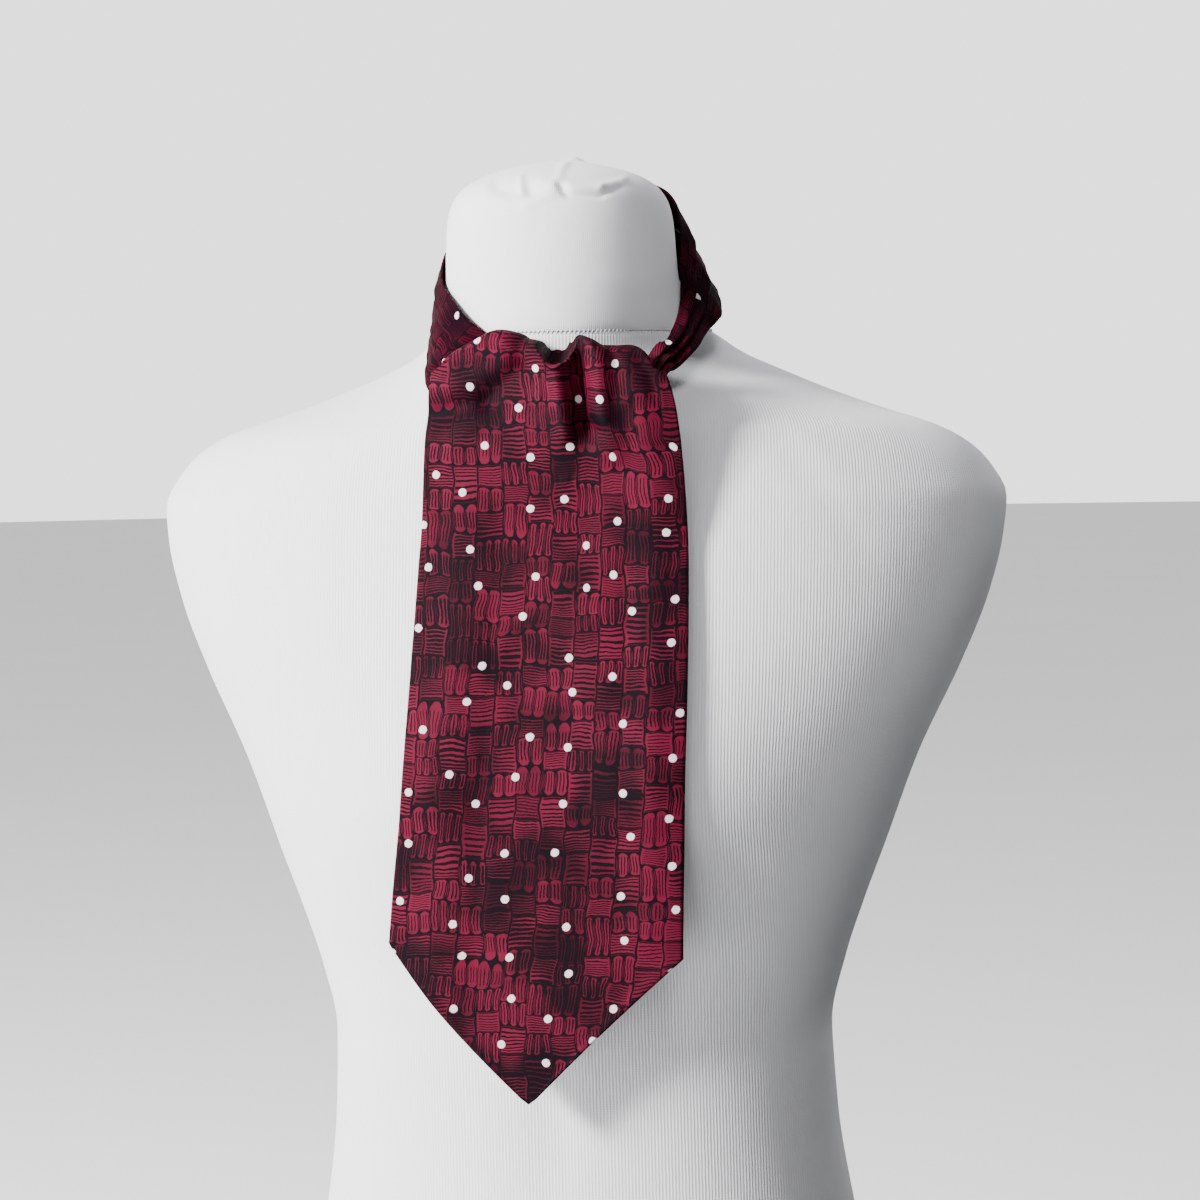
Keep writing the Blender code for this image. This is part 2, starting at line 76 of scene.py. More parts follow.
class Face(Enum):
    """The two sides of the form that its swells are on."""

    FRONT = -1
    BACK = 1


class Ring(NamedTuple):
    """A cross section of the form."""

    height: float
    half_width: float
    front: float
    back: float
    square: float
    skew: float


class Swell(NamedTuple):
    """A soft swell (+) or hollow (-) of the form, on both sides where x is above 0."""

    face: Face
    x: float
    height: float
    wide: float
    up: float
    down: float
    rise: float


class Fold(NamedTuple):
    """A ridge (+) or trough (-) along a line across the cloth."""

    x: float
    z: float
    end_x: float
    end_z: float
    half_width: float
    rise: float


class Edges(NamedTuple):
    """The two edges of a hanging blade at a height."""

    height: float
    left: float
    right: float


class Lip(NamedTuple):
    """Heights of the turned-over top's front lip and of the layer behind it."""

    x: float
    front: float
    rear: float


class Band(NamedTuple):
    """Distance from the neck's middle and height of the neckband's two edges, at an angle round it."""

    angle: float
    upper: float
    upper_height: float
    lower: float
    lower_height: float


def smooth(xs: Sequence[float], ys: Sequence[float], at: Any) -> np.ndarray:
    """Reads a row of values between its given places, along a curve that never overshoots them.

    Args:
        xs: the given places, rising.
        ys: the value at each place.
        at: the places to read.

    Returns:
        The values there.
    """
    xs, ys = np.asarray(xs, float), np.asarray(ys, float)
    step, slope = np.diff(xs), np.diff(ys) / np.diff(xs)
    tangent = np.zeros_like(ys)
    tangent[0], tangent[-1] = slope[0], slope[-1]
    same = slope[:-1] * slope[1:] > 0
    w1, w2 = 2 * step[1:] + step[:-1], step[1:] + 2 * step[:-1]
    inner = np.zeros(len(slope) - 1)
    inner[same] = (w1 + w2)[same] / (w1[same] / slope[:-1][same] + w2[same] / slope[1:][same])
    tangent[1:-1] = inner
    at = np.clip(np.asarray(at, float), xs[0], xs[-1])
    k = np.clip(np.searchsorted(xs, at, side="right") - 1, 0, len(step) - 1)
    t = (at - xs[k]) / step[k]
    return (
        (1 + 2 * t) * (1 - t) ** 2 * ys[k]
        + t * (1 - t) ** 2 * step[k] * tangent[k]
        + t * t * (3 - 2 * t) * ys[k + 1]
        + t * t * (t - 1) * step[k] * tangent[k + 1]
    )


def column(rows: Sequence[Any], name: str, at: Any, by: str) -> np.ndarray:
    """Reads one named column of a table at any place along another.

    Args:
        rows: the table.
        name: the column to read.
        at: the places.
        by: the column that the places are along.

    Returns:
        The values there.
    """
    order = sorted(rows, key=lambda row: getattr(row, by))
    return smooth([getattr(row, by) for row in order], [getattr(row, name) for row in order], at)


def ease(value: Any, low: float, high: float) -> np.ndarray:
    """A soft step.

    Args:
        value: what to judge.
        low: where the step starts, at 0.
        high: where it ends, at 1.

    Returns:
        0 to 1.
    """
    t = np.clip((np.asarray(value, float) - low) / (high - low), 0, 1)
    return t * t * (3 - 2 * t)


def larger(a: Any, b: Any, blend: float = 1.2) -> np.ndarray:
    """The larger of two distances, rounded where they cross.

    Args:
        a: one distance.
        b: the other.
        blend: how wide the rounding is.

    Returns:
        A distance that is never less than either.
    """
    return 0.5 * (a + b + np.sqrt((a - b) ** 2 + blend**2))


def ripple(at: Any, waves: Sequence[tuple[float, float, float]]) -> np.ndarray:
    """A sum of sine waves, for what is uneven by hand.

    Args:
        at: the places.
        waves: height, length and start of each wave.

    Returns:
        The sum at each place.
    """
    at = np.asarray(at, float)
    return sum(height * np.sin(2 * math.pi * (at / length + start)) for height, length, start in waves)


def fold_rise(folds: Sequence[Fold], x: np.ndarray, z: np.ndarray) -> np.ndarray:
    """Adds up the folds at places on the cloth.

    Args:
        folds: the table of folds.
        x: places across.
        z: heights.

    Returns:
        How far the cloth stands out there.
    """
    total = np.zeros(np.broadcast(x, z).shape)
    for f in folds:
        dx, dz = f.end_x - f.x, f.end_z - f.z
        t = np.clip(((x - f.x) * dx + (z - f.z) * dz) / (dx * dx + dz * dz), 0, 1)
        far = np.hypot(x - f.x - t * dx, z - f.z - t * dz)
        total += f.rise * np.exp(-((far / f.half_width) ** 2))
    return total


def grid_normals(points: np.ndarray) -> np.ndarray:
    """Unit normals of a grid of points.

    Args:
        points: rows by columns by 3.

    Returns:
        The normals, in the same layout.
    """
    down, across = np.gradient(points, axis=0), np.gradient(points, axis=1)
    normal = np.cross(across, down)
    return normal / np.maximum(np.linalg.norm(normal, axis=-1, keepdims=True), 1e-9)


def cloth_lengths(points: np.ndarray) -> np.ndarray:
    """Lengths measured on a grid of cloth, from its middle column and its first row.

    Args:
        points: rows by columns by 3, in millimetres.

    Returns:
        Rows by columns by 2, in metres.
    """
    across = np.linalg.norm(np.diff(points, axis=1), axis=-1)
    along = np.linalg.norm(np.diff(points, axis=0), axis=-1)
    u = np.concatenate([np.zeros((len(points), 1)), np.cumsum(across, 1)], 1)
    u -= u[:, points.shape[1] // 2][:, None]
    v = np.concatenate([np.zeros((1, points.shape[1])), np.cumsum(along, 0)], 0)
    return np.stack([u, v], -1) * MM


def signed_volume(points: np.ndarray, quads: np.ndarray) -> float:
    """Six times the volume inside a closed mesh, less than 0 where its faces point inwards.

    Args:
        points: the vertices.
        quads: four vertex numbers a face, where a triangle has its last one twice.

    Returns:
        The sum.
    """
    a, b, c, d = (points[quads[:, i]] for i in range(4))
    first = np.einsum("ij,ij->i", a, np.cross(b, c))
    return float(first.sum() + np.einsum("ij,ij->i", a, np.cross(c, d)).sum())


def make_object(
    name: str, points: np.ndarray, quads: np.ndarray, uv: np.ndarray, look: bpy.types.Material, merge: bool = False
) -> bpy.types.Object:
    """Makes a smooth-shaded object in metres from a closed mesh in millimetres.

    Args:
        name: the object's name.
        points: the vertices.
        quads: four vertex numbers a face, where a triangle has its last one twice.
        uv: a pair for each vertex.
        look: its material.
        merge: whether vertices at the same place are joined.

    Returns:
        The object.
    """
    if signed_volume(points, quads) < 0:
        quads = np.concatenate([quads[:, 2::-1], quads[:, 3:]], 1)
    faces = [(q[0], q[1], q[2]) if q[2] == q[3] else tuple(q) for q in quads.tolist()]
    placed = (points + np.array([0, SHIFT_BACK, 0])) * MM
    mesh = bpy.data.meshes.new(name)
    mesh.from_pydata(placed.tolist(), [], faces)
    layer = mesh.uv_layers.new(name=UV_NAME)
    loops = np.empty(len(mesh.loops), dtype=np.int32)
    mesh.loops.foreach_get("vertex_index", loops)
    layer.data.foreach_set("uv", uv[loops].astype(np.float32).ravel())
    if merge:
        bm = bmesh.new()
        bm.from_mesh(mesh)
        bmesh.ops.remove_doubles(bm, verts=bm.verts, dist=1e-6)
        bm.to_mesh(mesh)
        bm.free()
    mesh.shade_smooth()
    mesh.materials.append(look)
    made = bpy.data.objects.new(name, mesh)
    bpy.context.scene.collection.objects.link(made)
    return made


def cloth_shell(
    name: str, points: np.ndarray, wall: np.ndarray, look: bpy.types.Material, uv: np.ndarray
) -> bpy.types.Object:
    """A thin closed cloth on both sides of a grid of points, with rounded edges.

    Args:
        name: the object's name.
        points: rows by columns by 3, in millimetres.
        wall: how thick it is at each point.
        look: its material.
        uv: rows by columns by 2, the place of its pattern in metres.

    Returns:
        The object.
    """
    rows, columns = points.shape[:2]
    normal = grid_normals(points)
    half = np.broadcast_to(wall, (rows, columns))[..., None] / 2
    border = (
        [(0, j) for j in range(columns)]
        + [(i, columns - 1) for i in range(1, rows)]
        + [(rows - 1, j) for j in range(columns - 2, -1, -1)]
        + [(i, 0) for i in range(rows - 2, 0, -1)]
    )
    rim = []
    for i, j in border:
        inside = points[min(max(i, 1), rows - 2), min(max(j, 1), columns - 2)]
        out = points[i, j] - inside
        rim.append(points[i, j] + out / max(float(np.linalg.norm(out)), 1e-9) * half[i, j])
    count = rows * columns
    number = np.arange(count).reshape(rows, columns)
    face = np.stack([number[:-1, :-1], number[1:, :-1], number[1:, 1:], number[:-1, 1:]], -1).reshape(-1, 4)
    edge = np.array([number[i, j] for i, j in border])
    following = np.roll(edge, -1)
    ring = np.arange(len(border)) + 2 * count
    after = np.roll(ring, -1)
    quads = np.concatenate([
        face,
        face[:, ::-1] + count,
        np.stack([edge, following, after, ring], -1),
        np.stack([ring, after, following + count, edge + count], -1),
    ])
    every = np.concatenate([
        (points + normal * half).reshape(-1, 3),
        (points - normal * half).reshape(-1, 3),
        np.array(rim),
    ])
    flat = uv.reshape(-1, 2)
    return make_object(name, every, quads, np.concatenate([flat, flat, flat[edge]]), look)


class Value:
    """A number's socket in a material, on which Python's operators add Math nodes."""

    def __init__(self, kit: "Kit", socket: bpy.types.NodeSocket) -> None:
        """Args:
        kit: the material's nodes.
        socket: the socket that gives the number.
        """
        self.kit, self.socket = kit, socket

    def math(self, operation: str, *others: "Value | float", first: "Value | float | None" = None) -> "Value":
        """Adds a Math node.

        Args:
            operation: the node's operation.
            others: its inputs after the first.
            first: its first input, where that isn't this value.

        Returns:
            The result.
        """
        values = (self if first is None else first, *others)
        made = self.kit.node("ShaderNodeMath", {"operation": operation}, dict(enumerate(values)))
        return Value(self.kit, made.outputs[0])

    def __add__(self, other: "Value | float") -> "Value":
        """Sum."""
        return self.math("ADD", other)

    __radd__ = __add__

    def __sub__(self, other: "Value | float") -> "Value":
        """Difference."""
        return self.math("SUBTRACT", other)

    def __rsub__(self, other: float) -> "Value":
        """Difference from a number."""
        return self.math("SUBTRACT", self, first=other)

    def __mul__(self, other: "Value | float") -> "Value":
        """Product."""
        return self.math("MULTIPLY", other)

    __rmul__ = __mul__

    def __truediv__(self, other: "Value | float") -> "Value":
        """Quotient."""
        return self.math("DIVIDE", other)

    def __mod__(self, other: "Value | float") -> "Value":
        """What is left over, never below 0."""
        return self.math("FLOORED_MODULO", other)

    def __pow__(self, other: "Value | float") -> "Value":
        """Power."""
        return self.math("POWER", other)

    def __abs__(self) -> "Value":
        """Size without sign."""
        return self.math("ABSOLUTE")

    def floor(self) -> "Value":
        """The whole number below."""
        return self.math("FLOOR")

    def fract(self) -> "Value":
        """The part after the whole number."""
        return self.math("FRACT")

    def sine(self) -> "Value":
        """Sine of an angle."""
        return self.math("SINE")

    def most(self, other: "Value | float") -> "Value":
        """The larger of two."""
        return self.math("MAXIMUM", other)

    def step(self, low: "Value | float", high: "Value | float") -> "Value":
        """A soft step.

        Args:
            low: where it is 0.
            high: where it is 1.

        Returns:
            0 to 1.
        """
        settings = {"interpolation_type": "SMOOTHSTEP"}
        made = self.kit.node("ShaderNodeMapRange", settings, {"Value": self, "From Min": low, "From Max": high})
        return Value(self.kit, made.outputs["Result"])


class Kit:
    """The nodes of one material."""

    def __init__(self, name: str) -> None:
        """Args:
        name: the material's name.
        """
        self.material = bpy.data.materials.new(name)
        self.material.use_nodes = True
        self.tree = self.material.node_tree
        self.tree.nodes.clear()

    def node(self, kind: str, settings: dict[str, Any], inputs: dict[Any, Any]) -> bpy.types.Node:
        """Adds a node.

        Args:
            kind: the node's type.
            settings: its settings, which are set first.
            inputs: values or links of its sockets, by name or number.

        Returns:
            The node.
        """
        made = self.tree.nodes.new(kind)
        for key, value in settings.items():
            setattr(made, key, value)
        for key, value in inputs.items():
            if isinstance(value, Value):
                value = value.socket
            if isinstance(value, bpy.types.NodeSocket):
                self.tree.links.new(value, made.inputs[key])
            else:
                made.inputs[key].default_value = value
        return made

    def value(self, socket: bpy.types.NodeSocket) -> Value:
        """Wraps a socket."""
        return Value(self, socket)

    def place(self) -> bpy.types.NodeSocket:
        """The piece's own UV map."""
        return self.node("ShaderNodeUVMap", {"uv_map": UV_NAME}, {}).outputs["UV"]

    def parts(self, vector: bpy.types.NodeSocket) -> tuple[Value, Value]:
        """Splits a vector.

        Args:
            vector: its socket.

        Returns:
            Its first two numbers.
        """
        split = self.node("ShaderNodeSeparateXYZ", {}, {"Vector": vector})
        return self.value(split.outputs["X"]), self.value(split.outputs["Y"])

    def join(self, x: "Value | float", y: "Value | float") -> bpy.types.NodeSocket:
        """Joins two numbers to a vector.

        Args:
            x: the first.
            y: the second.

        Returns:
            The vector's socket.
        """
        return self.node("ShaderNodeCombineXYZ", {}, {"X": x, "Y": y}).outputs["Vector"]

    def noise(self, vector: bpy.types.NodeSocket, scale: float, detail: float = 2.0) -> bpy.types.Node:
        """Soft noise over a place.

        Args:
            vector: the place.
            scale: how fine it is.
            detail: how many finer layers it has.

        Returns:
            The node.
        """
        return self.node("ShaderNodeTexNoise", {}, {"Vector": vector, "Scale": scale, "Detail": detail})

    def random(self, x: Value, y: "Value | float") -> tuple[Value, Value]:
        """Two numbers from 0 to 1 for each whole place.

        Args:
            x: the place's first number.
            y: its second.

        Returns:
            The two numbers.
        """
        made = self.node("ShaderNodeTexWhiteNoise", {"noise_dimensions": "2D"}, {"Vector": self.join(x, y)})
        return self.value(made.outputs["Value"]), self.parts(made.outputs["Color"])[1]

    def mix(self, share: Value, low: Any, high: Any) -> bpy.types.NodeSocket:
        """Mixes two colours.

        Args:
            share: how much of the second.
            low: the first colour.
            high: the second.

        Returns:
            The colour's socket.
        """
        made = self.node("ShaderNodeMix", {"data_type": "RGBA"}, {"Factor": share, 6: low, 7: high})
        return made.outputs[2]

    def finish(self, bump: Value, height: float, varying: dict[str, Any], steady: dict[str, Any]) -> bpy.types.Material:
        """Ends the material.

        Args:
            bump: the relief.
            height: its height in metres.
            varying: sockets that change over the surface.
            steady: sockets that are the same all over.

        Returns:
            The material.
        """
        relief = self.node("ShaderNodeBump", {}, {"Height": bump, "Distance": height, "Strength": 1.0})
        inputs = {**varying, **steady, "Normal": relief.outputs["Normal"]}
        shader = self.node("ShaderNodeBsdfPrincipled", {}, inputs)
        self.node("ShaderNodeOutputMaterial", {}, {"Surface": shader.outputs["BSDF"]})
        return self.material


Colour = tuple[float, float, float, float]


@dataclass(frozen=True)
class CravatPrint:
    """Satiny twill, printed with a plain basket weave of hatched blocks and with pin dots. Sizes in metres."""

    name: str = "crimson_printed_twill"
    bright: Colour = (0.122, 0.0050, 0.0225, 1.0)
    deep: Colour = (0.024, 0.0009, 0.0052, 1.0)
    ink: Colour = (0.0035, 0.0012, 0.0035, 1.0)
    dot: Colour = (0.72, 0.62, 0.66, 1.0)
    block_width: float = 0.0130
    block_height: float = 0.0132
    uneven: float = 1.2
    lozenges: float = 2.0
    upright_lines: float = 4.0
    level_lines: float = 8.0
    dot_pitch: float = 0.0265
    dot_radius: float = 0.00205
    wobble: float = 0.0050
    shake: float = 0.0007
    twill_pitch: float = 0.00062
    # How strongly the painted crease shade darkens the print towards the ink.
    pleat_shade: float = 0.97
    gloss: float = 0.05

    def ink_share(self, kit: Kit, u: Value, v: Value, patch: Value) -> tuple[Value, Value]:
        """Where the print's dark lines are.

        Args:
            kit: the material's nodes.
            u: place across the cloth.
            v: place along it.
            patch: 0 to 1, larger where the ink is heavier.

        Returns:
            The ink's share, and a number that differs from block to block.
        """
        a = u / self.block_width
        i = a.floor()
        start, _ = kit.random(i, 3.0)
        slide = kit.value(kit.noise(kit.join(i * 0.37, v), 45.0, 0.0).outputs["Fac"])
        b = v / self.block_height + start + (slide - 0.5) * self.uneven
        j = b.floor()
        pick, other = kit.random(i, j)
        f, g = a.fract(), b.fract()
        level = (i + j + pick.math("GREATER_THAN", 0.8)) % 2.0
        narrow = other.math("GREATER_THAN", 0.7)
        weight = patch * 0.17 + (other - 0.5) * 0.07

        # Upright lozenges, side by side, with lines that stop short of their round ends
        across = (f * (narrow + self.lozenges) + (pick - 0.5) * 0.25).fract()
        tall = abs(g * 2.0 - 1.0)
        shape = abs(across * 2.0 - 1.0) ** 2.0 + tall**5.0
        outline = shape.step(0.68, 0.98)
        stripe = abs((across * (self.upright_lines - narrow)).fract() - 0.5)
        lines = 1 - stripe.step(weight + 0.11, weight + 0.23)
        reach = 1 - tall.step(other * 0.3 + 0.45, other * 0.3 + 0.72)
        upright = outline.most(lines * reach)

        # Level dashes, one above another, ragged at their ends
        rows = abs((g * self.level_lines).fract() - 0.5)
        dashes = 1 - rows.step(weight + 0.12, weight + 0.25)
        ends = 1 - abs(f * 2.0 - 1.0).step(other * 0.3 + 0.62, other * 0.25 + 0.85)
        border = abs(f * 2.0 - 1.0).step(0.86, 0.97).most(abs(g * 2.0 - 1.0).step(0.88, 0.98))
        flat = (dashes * ends).most(border)
        return upright + (flat - upright) * level, pick

    def dots(self, kit: Kit, u: Value, v: Value) -> Value:
        """Where the pin dots are.

        Args:
            kit: the material's nodes.
            u: place across the cloth.
            v: place along it.

        Returns:
            0 to 1.
        """
        a = u / self.dot_pitch
        i = a.floor()
        b = v / self.dot_pitch + (i % 2.0) * 0.5
        j = b.floor()
        right, up = kit.random(i + 11.0, j)
        x = a.fract() - 0.5 - (right - 0.5) * 0.56
        y = b.fract() - 0.5 - (up - 0.5) * 0.56
        far = ((x * x + y * y) ** 0.5) * self.dot_pitch
        return 1 - far.step(self.dot_radius * 0.86, self.dot_radius * 1.10)

    def build(self) -> bpy.types.Material:
        """Returns:
        The material.
        """
        kit = Kit(self.name)
        place = kit.place()
        u, v = kit.parts(place)
        slow_u, slow_v = kit.parts(kit.noise(place, 70.0, 1.0).outputs["Color"])
        fast_u, fast_v = kit.parts(kit.noise(place, 650.0, 1.0).outputs["Color"])
        drawn_u = u + (slow_u - 0.5) * self.wobble + (fast_u - 0.5) * self.shake
        drawn_v = v + (slow_v - 0.5) * self.wobble + (fast_v - 0.5) * self.shake
        patch = kit.value(kit.noise(place, 26.0, 2.0).outputs["Fac"]).step(0.36, 0.66)
        ink, pick = self.ink_share(kit, drawn_u, drawn_v, patch)
        dot = self.dots(kit, u + (fast_u - 0.5) * self.shake, v + (fast_v - 0.5) * self.shake)

        grain = kit.value(kit.noise(place, 1500.0, 2.0).outputs["Fac"])
        tone = (patch * 0.55 + pick * 0.45 + (grain - 0.5) * 0.5).step(0.1, 1.0)
        ground = kit.mix(tone, self.bright, self.deep)
        printed = kit.mix((ink * 0.93 + (grain - 0.5) * 0.25).step(0.05, 0.98), ground, self.ink)
        colour = kit.mix(dot, printed, self.dot)
        # Painted shade in the neckband's pleat creases: where the pleat_shade attribute is up, the colour goes towards
        # the ink.
        deep = kit.node("ShaderNodeAttribute", {"attribute_name": "pleat_shade"}, {}).outputs["Fac"]
        colour = kit.mix(kit.value(deep) * self.pleat_shade, colour, self.ink)

        twill = ((u + v * 0.7) * (2 * math.pi / self.twill_pitch)).sine()
        weft = ((v - u * 0.12) * (2 * math.pi / (self.twill_pitch * 0.8))).sine()
        relief = twill * 0.5 + weft * 0.25 + grain * 0.8
        roughness = 0.46 + grain * 0.16 + ink * 0.05
        steady = {
            "Sheen Weight": 0.0,
            "Sheen Roughness": 0.35,
            "Sheen Tint": (1.0, 0.55, 0.62, 1.0),
            "Specular IOR Level": self.gloss,
            "IOR": 1.5,
        }
        return kit.finish(relief, 0.00006, {"Base Color": colour, "Roughness": roughness}, steady)


@dataclass(frozen=True)
class Jersey:
    """Fine white jersey with upright wales. Sizes in metres."""

    name: str = "white_jersey"
    light: Colour = (0.80, 0.805, 0.825, 1.0)
    dark: Colour = (0.64, 0.65, 0.68, 1.0)
    wale: float = 0.0017
    course: float = 0.0012
    depth: float = 0.00016
    contrast: float = 0.55

    def build(self) -> bpy.types.Material:
        """Returns:
        The material.
        """
        kit = Kit(self.name)
        place = kit.place()
        u, v = kit.parts(place)
        soft = kit.value(kit.noise(place, 160.0, 2.0).outputs["Fac"])
        long = kit.noise(kit.join(u * 1.0, v * 0.08), 420.0, 2.0)
        streak = kit.value(long.outputs["Fac"])
        rib = ((u + (soft - 0.5) * 0.0006) * (2 * math.pi / self.wale)).sine() * 0.5 + 0.5
        loop = (v * (2 * math.pi / self.course) + rib * 1.6).sine() * 0.5 + 0.5
        fuzz = kit.value(kit.noise(place, 2600.0, 3.0).outputs["Fac"])
        # Darker in the troughs between the wales, where the relief is low: painted shade; the streaks and fuzz are
        # random tone.
        shade = ((1 - rib) * 0.5 + streak * 0.45 + (fuzz - 0.5) * 0.5) * self.contrast
        colour = kit.mix(shade.step(0.0, 1.0), self.light, self.dark)
        relief = rib * (streak * 0.6 + 0.5) + loop * 0.22 + fuzz * 0.35
        steady = {
            "Sheen Weight": 0.35,
            "Sheen Roughness": 0.6,
            "Specular IOR Level": 0.25,
            "IOR": 1.45,
        }
        return kit.finish(relief, self.depth, {"Base Color": colour, "Roughness": fuzz * 0.15 + 0.78}, steady)


@dataclass(frozen=True)
class Thread:
    """Pale sewing thread. Sizes in metres."""

    name: str = "grey_seam_thread"
    light: Colour = (0.74, 0.75, 0.78, 1.0)
    dark: Colour = (0.56, 0.57, 0.60, 1.0)

    def build(self) -> bpy.types.Material:
        """Returns:
        The material.
        """
        kit = Kit(self.name)
        place = kit.node("ShaderNodeTexCoord", {}, {}).outputs["Object"]
        fibre = kit.value(kit.noise(place, 2400.0, 2.0).outputs["Fac"])
        colour = kit.mix(fibre.step(0.3, 0.7), self.light, self.dark)
        return kit.finish(fibre, 0.00005, {"Base Color": colour, "Roughness": fibre * 0.2 + 0.6}, {"IOR": 1.45})


@dataclass
class DressForm:
    """The limbless form: a torso from its flat base to the neck seam, and the neck's cap above it."""

    seam_height: float = 613.0
    seam_gap: float = 0.3
    neck_y: float = -39.0
    torso_columns: int = 168
    neck_columns: int = 224
    torso_step: float = 5.0
    neck_step: float = 0.9
    base_round: float = 5.0
    seam_round: float = 1.8
    seam_tuck: float = 0.55
    torso: tuple[Ring, ...] = (
        Ring(0, 160, 101, 101, 2.3, 0),
        Ring(12, 162, 103, 103, 2.3, 0),
        Ring(45, 161, 105, 106, 2.3, 0),
        Ring(95, 152, 105, 105, 2.3, 0),
        Ring(150, 141, 105, 97, 2.25, 0),
        Ring(205, 133.5, 107, 88, 2.2, 0),
        Ring(250, 131.5, 110, 84, 2.2, 0),
        Ring(285, 139, 114, 88, 2.25, 2),
        Ring(312, 148, 119, 93, 2.3, 4),
        Ring(345, 160.5, 124, 97, 2.3, 6),
        Ring(392, 178, 127, 102, 2.35, 9),
        Ring(440, 201, 125, 104, 2.4, 13),
        Ring(475, 215, 121, 101, 2.45, 16),
        Ring(505, 222.5, 117, 96, 2.45, 18),
        Ring(525, 224.5, 114, 91, 2.4, 20),
        Ring(541, 217, 111, 86, 2.25, 20),
        Ring(552, 207, 109, 80, 2.1, 20),
        Ring(562, 190, 107, 73, 2.0, 20),
        Ring(572, 160, 105, 66, 1.9, 26),
        Ring(582, 132, 103, 58, 1.85, 34),
        Ring(592, 108, 101.5, 51, 1.85, 40),
        Ring(603, 85, 100.5, 43, 1.9, 38),
        Ring(613.0, 73, 100, 36, 1.95, 25),
    )
    neck: tuple[Ring, ...] = (
        Ring(613.3, 72.7, 100, 35.8, 1.95, 25),
        Ring(621, 66.8, 99.5, 31, 2.0, 14),
        Ring(630, 62.6, 99.3, 27, 2.0, 6),
        Ring(642, 60.0, 99.8, 23, 2.0, 0),
        Ring(656, 59.2, 100.6, 20.5, 2.05, 0),
        Ring(670, 58.0, 100.8, 19.5, 2.1, 0),
        Ring(679, 55.8, 99.6, 18.6, 2.1, 0),
        Ring(686.5, 51.0, 95.5, 16.5, 2.1, 0),
        Ring(692, 43.5, 87.5, 11.5, 2.05, 0),
        Ring(696.2, 33, 76, 3, 2.0, 0),
        Ring(699.5, 20, 62, -9, 2.0, 0),
        Ring(701.5, 7, 46, -25, 2.0, 0),
    )
    swells: tuple[Swell, ...] = (
        Swell(Face.FRONT, 74, 372, 46, 62, 34, 9.0),
        Swell(Face.FRONT, 0, 395, 17, 70, 60, -4.5),
        Swell(Face.FRONT, 0, 250, 13, 45, 60, -2.5),
        Swell(Face.FRONT, 62, 296, 40, 16, 22, -4.0),
        Swell(Face.BACK, 0, 395, 20, 120, 130, -8.0),
        Swell(Face.BACK, 84, 455, 40, 45, 70, 5.0),
        Swell(Face.BACK, 58, 70, 42, 50, 60, 5.0),
    )
    # Where the cap is drawn together on top: soft hollows, the ridges between them and a small flap
    puckers: tuple[Fold, ...] = (
        Fold(-22, 687.0, -3, 685.0, 4.6, -2.0),
        Fold(-25, 688.0, -15, 682.5, 3.0, -0.5),
        Fold(-11.6, 691, -9.2, 684.0, 1.8, 1.2),
        Fold(-6.3, 688, -4.5, 683.0, 2.2, -1.1),
        Fold(0, 688.5, 8, 686.8, 2.4, 0.9),
        Fold(7, 683.0, -6, 676.5, 2.8, 0.9),
        Fold(9.5, 687.2, 13.5, 682.8, 1.6, -2.1),
        Fold(15, 685.2, 29, 684.6, 2.2, 1.4),
        Fold(30, 685.6, 38, 689.0, 2.4, 0.9),
        Fold(14.5, 681.4, 30, 680.8, 1.5, -1.2),
        Fold(31.5, 681.8, 38, 685.4, 1.5, -0.6),
        Fold(7.5, 699, 9, 689, 2.4, 0.9),
    )
    peak: tuple[float, float, float, float] = (7.0, -37.0, 5.0, 2.6)
    # Soft creases that the stretched cover has, also where the photo doesn't show it
    drags: tuple[Fold, ...] = (
        Fold(-118, 560, -150, 500, 7.0, -0.5),
        Fold(120, 560, 158, 505, 6.0, -0.6),
        Fold(-88, 585, -132, 548, 5.0, 0.4),
        Fold(95, 584, 140, 545, 6.0, 0.5),
        Fold(-120, 250, -60, 262, 7.0, -0.5),
        Fold(66, 258, 122, 246, 8.0, -0.5),
        Fold(-110, 228, -70, 236, 5.0, 0.4),
    )

    def ring(self, height: Any, rows: Sequence[Ring]) -> tuple[np.ndarray, ...]:
        """Sizes of the form at a height.

        Args:
            height: the height.
            rows: the table to read.

        Returns:
            Half width, middle, half depth, squareness and skew.
        """
        names = ("half_width", "front", "back", "square", "skew")
        width, front, back, square, skew = (column(rows, name, height, "height") for name in names)
        return width, (back - front) / 2, (back + front) / 2, square, skew

    def swell(self, face: Face, x: Any, height: Any) -> np.ndarray:
        """How far the swells push one side out.

        Args:
            face: which side.
            x: places across.
            height: heights.

        Returns:
            The push.
        """
        total = np.zeros(np.broadcast(x, height).shape)
        for row in self.swells:
            if row.face is not face:
                continue
            tall = np.where(height > row.height, row.up, row.down)
            for mirrored in sorted({row.x, -row.x}):
                far = ((x - mirrored) / row.wide) ** 2 + ((height - row.height) / tall) ** 2
                total += row.rise * np.exp(-far)
        return total

    def front(self, x: Any, height: Any) -> np.ndarray:
        """How far the form's front stands forward of the middle.

        Args:
            x: places across.
            height: heights.

        Returns:
            The distance.
        """
        width, middle, depth, square, skew = self.ring(height, self.torso + self.neck[1:])
        share = np.clip(np.abs(x) / width, 0, 0.97)
        bulge = (1 - share**square) ** (1 / square)
        return depth * bulge - middle - skew * share**2 + self.swell(Face.FRONT, x, height) * bulge

